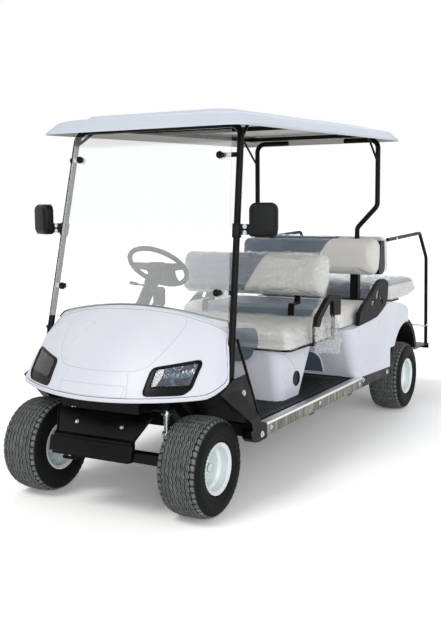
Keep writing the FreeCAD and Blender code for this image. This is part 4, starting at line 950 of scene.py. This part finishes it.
# ---------------------------------------------------------------------------------------------------
# Rear body trim. On each side of the cart, a round-topped slate panel shaped as an access door on the front
# wall under the second bench, with a white moulded frame. Its dark slate is painted shade, where the wall
# lies in shade under the bench.
slate_painted_shade = surface("slate_abs_painted_shade", (0.2, "#57626F", "#667281"), 0.45, relief=GRAIN)[0]
DOOR_IN, DOOR_OUT = 0.170, 0.372
DOOR_LOW, DOOR_HIGH = 0.390, 0.523
DOOR_R = 0.060
DOOR_T = 0.003
DOOR_SUNK = 0.001               # how far the door reaches into the wall
DOOR_RING = rounded_ring([(DOOR_IN, DOOR_HIGH, DOOR_R), (DOOR_OUT, DOOR_HIGH, DOOR_R),
                          (DOOR_OUT, DOOR_LOW, 0.004), (DOOR_IN, DOOR_LOW, 0.004)], steps=8)
AHEAD_OF_WALL = 1.42            # a place between the pod and the rear body, from the axle
for side, out in SIDES:
    starts = [Vector((out * x, AHEAD_OF_WALL, z)) + AXLE_SPOT for x, z in DOOR_RING]
    spots = [first_hit(["rear_body"], start, Vector((0, 1, 0)))[0] for start in starts]
    form = bmesh.new()
    panel = form.faces.new([form.verts.new(spot + Vector((0, DOOR_SUNK, 0))) for spot in spots])
    lifted = bmesh.ops.extrude_face_region(form, geom=[panel])["geom"]
    bmesh.ops.translate(form, vec=(0, -DOOR_T - DOOR_SUNK, 0),
                        verts=[v for v in lifted if isinstance(v, bmesh.types.BMVert)])
    bmesh.ops.triangulate(form, faces=form.faces[:])
    finished(f"{side}_shade_panel", form, slate_painted_shade, smooth=30.0)
    finished(f"{side}_access_door_frame", tube(spots, 0.0045, closed=True, sides=3), white_shell,
             smooth=60.0)

# ---------------------------------------------------------------------------------------------------
# Rear step. A checkered aluminium tread plate on the footplate with a black nosing, and bolts and collars
# where the grab rails meet the footplate and the seat back.
tread_low, tread_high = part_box("rear_footplate")
TREAD_T = 0.002
TREAD_SIDE, TREAD_BACK = 0.012, 0.110           # the plate's margins on the footplate
LOZENGE = (0.0045, 0.011, 0.0012)               # half width, half length and height of a raised lozenge
PITCH = 0.034
form = bmesh.new()
add_bar(form, (tread_low.x + TREAD_SIDE, tread_low.y + TREAD_BACK, tread_high.z - 0.0005),
        (tread_high.x - TREAD_SIDE, tread_high.y - TREAD_SIDE, tread_high.z + TREAD_T), 0.0006)
rows = int((tread_high.y - tread_low.y - 0.16) / PITCH)
columns = int((tread_high.x - tread_low.x - 0.06) / PITCH)
first = Vector((tread_low.x + 0.04, tread_low.y + 0.135, tread_high.z + TREAD_T))
for i in range(columns):
    for j in range(rows):
        made = bmesh.ops.create_cone(form, cap_ends=True, segments=4, radius1=1.0, radius2=0.45,
                                     depth=1.0)["verts"]
        bmesh.ops.scale(form, vec=LOZENGE, verts=made)
        turn = Matrix.Rotation(math.radians(45 if (i + j) % 2 else -45), 4, "Z")
        place = Matrix.Translation(first + PITCH * Vector((i, j, 0)))
        bmesh.ops.transform(form, matrix=place @ turn, verts=made)
finished("footplate_tread", form, aluminium, smooth=25.0)

nose = [Vector((x, tread_high.y - 0.002, tread_high.z - 0.001))
        for x in (tread_low.x + 0.006, tread_high.x - 0.006)]
finished("footplate_nosing", tube(nose, 0.0055, sides=3), gasket_rubber, smooth=50.0)

rail_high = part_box("rear_grab_rails")[1]
RAIL_R = 0.0125
RAIL_BOLTS = [(2.56, 1.155), (3.307, 0.372)]    # from the axle, height
RAIL_FOOT = 3.308
COLLAR = [(0.0, 0.0), (0.0, 0.026), (0.003, 0.0265), (0.006, 0.018), (0.020, 0.0162), (0.022, 0.0)]
form = bmesh.new()
for out in (-1, 1):
    for behind, up in RAIL_BOLTS:
        add_bolt(form, (out * rail_high.x, FRONT_AXLE_Y + behind, up), (out, 0, 0), 0.010)
    foot = (out * (rail_high.x - RAIL_R), FRONT_AXLE_Y + RAIL_FOOT, tread_high.z + TREAD_T)
    add_turned(form, COLLAR, foot, (0, 0, 1), steps=24)
finished("grab_rail_fixings", form, zinc_plate, smooth=30.0)

# ---------------------------------------------------------------------------------------------------
# Seat covers. Expanded PVC vinyl in two colours sewn together, slate and cream, with a soft sheen, a
# leather grain of about 1.8 mm and a stitched valley along each seam between the panels.
seat_vinyl, shader, where = surface("two_tone_seat_vinyl", None, (0.05, 0.40, 0.55), specular=0.35)
inside = add(seat_vinyl, "Attribute", attribute_name="panel").outputs["Fac"]
dye = add(seat_vinyl, "TexNoise", {"Vector": where, "Scale": 1 / 0.3, "Detail": 4.0})
cream, slate = [add(seat_vinyl, "ValToRGB", {"Fac": dye.outputs["Fac"]},
                    stops=((CLOUD_LOW, low), (CLOUD_HIGH, high))).outputs["Color"]
                for low, high in (("#E2E0DA", "#ECEAE5"), ("#68747F", "#788592"))]
SEAM_EDGE = 0.0006              # the colours meet within this much of the seam
SEAM_WIDE = 0.004
slate_part = add(seat_vinyl, "MapRange", {"Value": inside, "From Min": -SEAM_EDGE, "From Max": SEAM_EDGE})
add(seat_vinyl, "Mix", {"Factor": slate_part.outputs[0], "A": cream, "B": slate}, data_type="RGBA",
    to=shader.inputs["Base Color"])
cells = add(seat_vinyl, "TexVoronoi", {"Vector": where, "Scale": 1 / 0.0018}, feature="SMOOTH_F1")
folds = add(seat_vinyl, "TexNoise", {"Vector": where, "Scale": 1 / 0.03, "Detail": 4.0})
relief = add(seat_vinyl, "Math", {0: cells.outputs["Distance"], 1: 0.2, 2: folds.outputs["Fac"]},
             operation="MULTIPLY_ADD")
off_seam = add(seat_vinyl, "Math", {0: inside}, operation="ABSOLUTE")
valley = add(seat_vinyl, "MapRange", {"Value": off_seam.outputs[0], "From Max": SEAM_WIDE, "To Min": -1.2,
                                      "To Max": 0.0}, interpolation_type="SMOOTHSTEP")
relief = add(seat_vinyl, "Math", {0: relief.outputs[0], 1: valley.outputs[0]}, operation="ADD")
add(seat_vinyl, "Bump", {"Height": relief.outputs[0], "Distance": 0.0012}, to=shader.inputs["Normal"])

# Shrink film left on new seats: thin clear polythene, nearly invisible face on and bright along its folds.
shrink_film, surface_end = empty_material("clear_polythene_film")
where = add(shrink_film, "TexCoord").outputs["Object"]
crinkle = add(shrink_film, "TexNoise", {"Vector": where, "Scale": 1 / 0.035, "Detail": 6.0,
                                        "Distortion": 2.0})
bump = add(shrink_film, "Bump", {"Height": crinkle.outputs["Fac"], "Distance": 0.020})
glance = add(shrink_film, "LayerWeight", {"Blend": 0.22, "Normal": bump.outputs[0]})
amount = add(shrink_film, "MapRange", {"Value": glance.outputs["Facing"], "To Min": 0.08, "To Max": 0.80})
clear = add(shrink_film, "BsdfTransparent", {"Color": colour("#FCFDFD")})
gloss = add(shrink_film, "BsdfGlossy", {"Color": colour("#FFFFFF"), "Roughness": 0.14,
                                        "Normal": bump.outputs[0]})
add(shrink_film, "MixShader", {0: amount.outputs[0], 1: clear.outputs[0], 2: gloss.outputs[0]},
    to=surface_end)

# ---------------------------------------------------------------------------------------------------
# Cushions and backs. Each is moulded foam under a sewn cover, stapled beneath a board: a top panel and a
# border strip, joined by a welt. They bolt to the front deck, the body's well and the rear bench frame.
VOXEL = 0.011
SWELL = 0.014                   # how far foam may push a cover out beyond its cut shape
INSET = 0.011                   # the cut shape is this much smaller than the finished pad
BOARD = 0.004                   # height of the board's edge, which doesn't swell
WELT_R = 0.0028
WELT_UP = 0.028                 # the welt runs round a pad this far above its board
STEPS = 20                      # of the foam's simulation
CLOTH = {"quality": 4, "mass": 0.25, "tension_stiffness": 12.0, "compression_stiffness": 12.0,
         "bending_stiffness": 1.5, "use_pressure": True, "uniform_pressure_force": 4.0,
         "vertex_group_mass": "held"}


def settled(piece):
    """Applies a piece's modifiers to its mesh."""
    mesh = bpy.data.meshes.new_from_object(piece.evaluated_get(bpy.context.evaluated_depsgraph_get()))
    old = piece.data
    piece.modifiers.clear()
    piece.data = mesh
    bpy.data.meshes.remove(old)


def cut_form(half, depth, height, edge):
    """The cut shape of a pad, lying on its board: a slab with its corners and top edge well rounded."""
    form = bmesh.new()
    add_bar(form, (-half, -depth / 2, 0), (half, depth / 2, height))
    upright = [e for e in form.edges if abs(e.verts[0].co.z - e.verts[1].co.z) > height / 2]
    round_off(form, upright, edge * 1.6, segments=6)
    round_off(form, [e for e in form.edges if min(v.co.z for v in e.verts) > height * 0.99], edge, segments=6)
    return form


def foam_filled(half, depth, height, edge):
    """A pad's mesh swollen by its foam: remeshed, pushed out by a short cloth simulation, smoothed."""
    mesh = bpy.data.meshes.new("foam")
    form = cut_form(half - INSET, depth - 2 * INSET, height - INSET, edge)
    form.to_mesh(mesh)
    form.free()
    piece = bpy.data.objects.new("foam", mesh)
    bpy.context.scene.collection.objects.link(piece)
    remesh = piece.modifiers.new("remesh", "REMESH")
    remesh.mode = "VOXEL"
    remesh.voxel_size = VOXEL
    settled(piece)
    start = [point.co.copy() for point in piece.data.vertices]
    held = piece.vertex_groups.new(name="held")
    held.add([i for i, place in enumerate(start) if place.z < BOARD], 1.0, "REPLACE")
    cloth = piece.modifiers.new("cloth", "CLOTH")
    for setting, value in CLOTH.items():
        setattr(cloth.settings, setting, value)
    cloth.settings.effector_weights.gravity = 0.0
    cloth.point_cache.frame_start, cloth.point_cache.frame_end = 1, STEPS
    for step in range(1, STEPS + 1):
        bpy.context.scene.frame_set(step)
    swollen = piece.evaluated_get(bpy.context.evaluated_depsgraph_get()).data
    places = [point.co.copy() for point in swollen.vertices]
    piece.modifiers.clear()
    for point, rest, place in zip(piece.data.vertices, start, places):
        moved = place - rest
        point.co = rest + moved * min(1.0, SWELL / max(moved.length, 1e-9))
    bpy.context.scene.frame_set(1)
    smoother = piece.modifiers.new("soft_cover", "SUBSURF")
    smoother.levels = smoother.render_levels = 1
    settled(piece)
    mesh = piece.data
    bpy.data.objects.remove(piece)
    return mesh


def crease(place, size, seed):
    """Height of a pulled crease at a place, from 0 on the flats to 1 along its ridge."""
    wave = noise.noise(Vector((place.x / size[0] + seed, place.y / size[1], place.z / size[2] + seed)))
    return (1.0 - min(1.0, abs(wave) * 2.4)) ** 2


# Panels: how far a place on a pad lies inside its slate panels, below zero on the cream ones. A place is
# given from the pad's middle, with its size: half its length, its depth and its height off the board.
PANEL_HALF = 0.362
PANEL_R = 0.050
SEAM_SLOPE = 0.60               # sideways run of a back's slanting seam for each metre up
BACK_STRIP = 0.028              # cream strip along a back's lower edge


def slanted(middle_x, turned=1):
    """A back's panels: slate on the cart's right of a slanting seam, above a cream strip."""
    run = math.hypot(1.0, SEAM_SLOPE)
    return lambda spot, size: min((middle_x + SEAM_SLOPE * spot.y - turned * spot.x) / run,
                                  spot.y + size[1] / 2 - BACK_STRIP)


def front_apron(spot, size):
    """A slate panel with rounded upper corners, on the cushion's front border only."""
    past_side = abs(spot.x) - (PANEL_HALF - PANEL_R)
    past_top = spot.z - (size[2] - 0.012 - PANEL_R)
    in_corner = min(past_side, past_top) > 0
    past = math.hypot(past_side, past_top) if in_corner else max(past_side, past_top)
    return min(PANEL_R - past, 0.06 - size[1] / 2 - spot.y)


def centre_band(spot, size):
    """A slate band right over the cushion, cream at both ends."""
    return PANEL_HALF - abs(spot.x)


def slate_top(spot, size):
    """Slate all over the top and the middle of the border, cream round the ends."""
    return max(spot.z - size[2] + 0.030, PANEL_HALF - 0.03 - abs(spot.x))


PADS = [  # node, sitting side, lean in degrees, edge radius, rise of the underside at the back, film, panels
    ("front_seat_cushion", "up", 0.0, 0.036, 0.0, True, front_apron),
    ("second_seat_cushion", "up", 0.0, 0.036, 0.0, False, centre_band),
    ("rear_seat_cushion", "up", 0.0, 0.040, 0.045, True, slate_top),
    ("front_seat_back", "front", 11.3, 0.034, 0.0, True, slanted(0.029)),
    ("second_seat_back", "front", 8.0, 0.034, 0.0, False, slanted(0.096)),
    ("rear_seat_back", "rear", -5.6, 0.034, 0.0, True, slanted(0.096, turned=-1)),
]
SIT_TURN = {"up": Matrix.Identity(4), "front": Matrix.Rotation(math.radians(90), 4, "X"),
            "rear": Matrix.Rotation(math.pi, 4, "Z") @ Matrix.Rotation(math.radians(90), 4, "X")}


def shaped(mesh, place, change):
    """A pad's foam as a bmesh, each point moved by what change says, then put in its place."""
    form = bmesh.new()
    form.from_mesh(mesh)
    form.normal_update()
    moves = [change(point.co, point.normal) for point in form.verts]
    for point, move in zip(form.verts, moves):
        point.co += move
    bmesh.ops.transform(form, matrix=place, verts=form.verts)
    return form


def mark_panels(form, place, panels, size):
    """Stores on each point how far it lies inside the slate panels."""
    layer = form.verts.layers.float.new("panel")
    to_pad = place.inverted()
    for point in form.verts:
        point[layer] = panels(to_pad @ point.co, size)


def seam_line(form, spot, across):
    """The closed line in which a plane cuts a pad's cover, every third point of it."""
    cut = bmesh.ops.bisect_plane(form, geom=form.verts[:] + form.edges[:] + form.faces[:], plane_co=spot,
                                 plane_no=across)["geom_cut"]
    steps = [g for g in cut if isinstance(g, bmesh.types.BMEdge)]
    following = {}
    for step in steps:
        for one, other in (step.verts, reversed(step.verts)):
            following.setdefault(one, []).append(other)
    first = steps[0].verts[0]
    line, before, here = [first.co.copy()], None, first
    while True:
        before, here = here, next(v for v in following[here] if v is not before)
        if here is first:
            return line[::3]
        line.append(here.co.copy())


VALLEY_HALF = 0.006             # half the width of the valleys along the welt and the seams
foams = {}                      # finished foam by its size, so that like pads are swollen once
for count, (node, side, lean, edge, rise, filmed, panels) in enumerate(PADS):
    low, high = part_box(node)
    half = (high.x - low.x) / 2
    if side == "up":
        depth, height = high.y - low.y, high.z - low.z
    else:
        tilt = abs(math.radians(lean))
        spread = math.cos(tilt) ** 2 - math.sin(tilt) ** 2
        depth = ((high.z - low.z) * math.cos(tilt) - (high.y - low.y) * math.sin(tilt)) / spread
        height = ((high.y - low.y) * math.cos(tilt) - (high.z - low.z) * math.sin(tilt)) / spread
    size = (round(half, 2), round(depth, 2), round(height, 2))
    if size not in foams:
        foams[size] = foam_filled(half, depth, height, edge)
    place = (Matrix.Translation((low + high) / 2) @ Matrix.Rotation(math.radians(-lean), 4, "X")
             @ SIT_TURN[side] @ Matrix.Translation((0, 0, -height / 2)))

    def lifted(spot):
        """How far the underside's rise at the back lifts a place."""
        back = max(0.0, spot.y / (depth / 2))
        return Vector((0, 0, (1.0 - spot.z / height) * rise * back * back))

    def cover(spot, up):
        """Soft dents where the cover pulls, and valleys along the welt and the seams between panels."""
        dent = noise.noise(spot * 9.0 + Vector((count * 5.0, 0, 0))) * 0.0022
        pull = crease(spot, (0.16, 0.05, 0.05), count * 3.1) * (0.0030 if filmed else 0.0012)
        valley = 0.0022 * math.exp(-((spot.z - WELT_UP) / VALLEY_HALF) ** 2)
        seam = math.exp(-(panels(spot, true_size) / VALLEY_HALF) ** 2)
        valley += 0.0020 * seam * min(1.0, spot.z / 0.03)
        return up * ((dent - pull) * min(1.0, spot.z / 0.02) - valley) + lifted(spot)

    true_size = (half, depth, height)
    form = shaped(foams[size], place, cover)
    mark_panels(form, place, panels, true_size)
    pad = finished(f"{node}_pad", form, seat_vinyl, smooth=180.0)
    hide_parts(node)

    # The welt: a vinyl-covered cord sewn into the seam, all round the pad.
    if rise == 0.0:
        trace = bmesh.new()
        trace.from_mesh(pad.data)
        line = seam_line(trace, place @ Vector((0, 0, WELT_UP)), place.to_3x3() @ Vector((0, 0, 1)))
        trace.free()
        form = tube(line, WELT_R, closed=True)
        mark_panels(form, place, panels, true_size)
        finished(f"{node}_welt", form, seat_vinyl, smooth=180.0)

    # The film: open on the board's side, loose by a few millimetres and gathered in sharp creases.
    if filmed:
        def loose(spot, up):
            """How far the film stands off the cover."""
            off = 0.0025 + 0.0065 * crease(spot, (0.10, 0.045, 0.05), 20 + count)
            return up * (off + 0.004 * crease(spot, (0.03, 0.06, 0.05), 40 + count)) + lifted(spot)

        form = shaped(foams[size], place, loose)
        to_pad = place.inverted()
        board_side = place.to_3x3() @ Vector((0, 0, -1))
        form.normal_update()
        under = [f for f in form.faces
                 if f.normal.dot(board_side) > 0.5 and (to_pad @ f.calc_center_median()).z < 0.03 + rise]
        bmesh.ops.delete(form, geom=under, context="FACES")
        film = finished(f"{node}_film", form, shrink_film, smooth=180.0)

# ---------------------------------------------------------------------------------------------------
# Loose film and valance. The film's bag end hangs crumpled from the front cushion's left end, a fold of
# it hangs from the front back, and a slate vinyl valance hangs from the deck in front of the pod.
LOOSE_SHEETS = [  # name, folds' depth, corners from the axle (front top, rear top, rear foot, front foot)
    ("cushion_bag_end", 0.016, ((0.562, 0.960, 0.778), (0.562, 1.330, 0.786),
                                (0.588, 1.300, 0.560), (0.588, 0.930, 0.618))),
    ("back_film_fold", 0.006, ((0.492, 1.270, 0.905), (0.492, 1.330, 0.900),
                               (0.500, 1.235, 0.775), (0.500, 1.060, 0.772))),
]
CRUMPLED = 1.15                 # how much longer the film is than the space it hangs in
for name, depth, corners in LOOSE_SHEETS:
    corners = [Vector(corner) + AXLE_SPOT for corner in corners]
    front_top, rear_top, rear_foot, front_foot = corners
    form = bmesh.new()
    for point in bmesh.ops.create_grid(form, x_segments=48, y_segments=36, size=0.5)["verts"]:
        u, v = point.co.x + 0.5, point.co.y + 0.5
        flat_place = front_foot.lerp(rear_foot, u).lerp(front_top.lerp(rear_top, u), v)
        fold = crease(flat_place, (0.05, 0.028, 0.07), 3.0)
        fold += 0.6 * crease(flat_place, (0.03, 0.05, 0.025), 9.0)
        hang = 0.5 + 0.5 * math.sin(math.pi * min(1.0, 1.3 * (1.0 - v)))
        sway = 0.010 * noise.noise(flat_place * 22.0)
        point.co = flat_place + Vector((depth * fold * hang, sway, 0.6 * sway))
    piece = finished(name, form, shrink_film, smooth=180.0)
    across, down = [(max(part) - min(part)) * CRUMPLED for part in list(zip(*corners))[1:]]

VALANCE_HALF = 0.340
VALANCE_TOP, VALANCE_LOW = 0.655, 0.575
VALANCE_T = 0.0015
VALANCE_BEHIND, VALANCE_SLANT = 0.714, 0.036    # its top edge from the axle, and how far its foot lies back
CORNER_FROM, CORNER_RISE = 0.65, 0.96           # share of the half width where the lower corners start
form = bmesh.new()
for point in bmesh.ops.create_grid(form, x_segments=60, y_segments=12, size=0.5)["verts"]:
    x = 2 * point.co.x * VALANCE_HALF
    past = max(0.0, (abs(x) / VALANCE_HALF - CORNER_FROM) / (1 - CORNER_FROM))
    low = VALANCE_LOW + (VALANCE_TOP - VALANCE_LOW) * (1 - math.sqrt(1 - CORNER_RISE * past ** 2))
    z = low + (point.co.y + 0.5) * (VALANCE_TOP - low)
    hang = (VALANCE_TOP - z) / (VALANCE_TOP - VALANCE_LOW)
    wave = 0.0015 * noise.noise(Vector((x * 14.0, 0.0, z * 10.0)))
    point.co = AXLE_SPOT + Vector((x, VALANCE_BEHIND + VALANCE_SLANT * hang + wave, z))
bmesh.ops.solidify(form, geom=form.faces[:], thickness=VALANCE_T)
mark_panels(form, Matrix.Identity(4), lambda spot, size: 1.0, None)
valance = finished("front_valance", form, seat_vinyl, smooth=60.0)
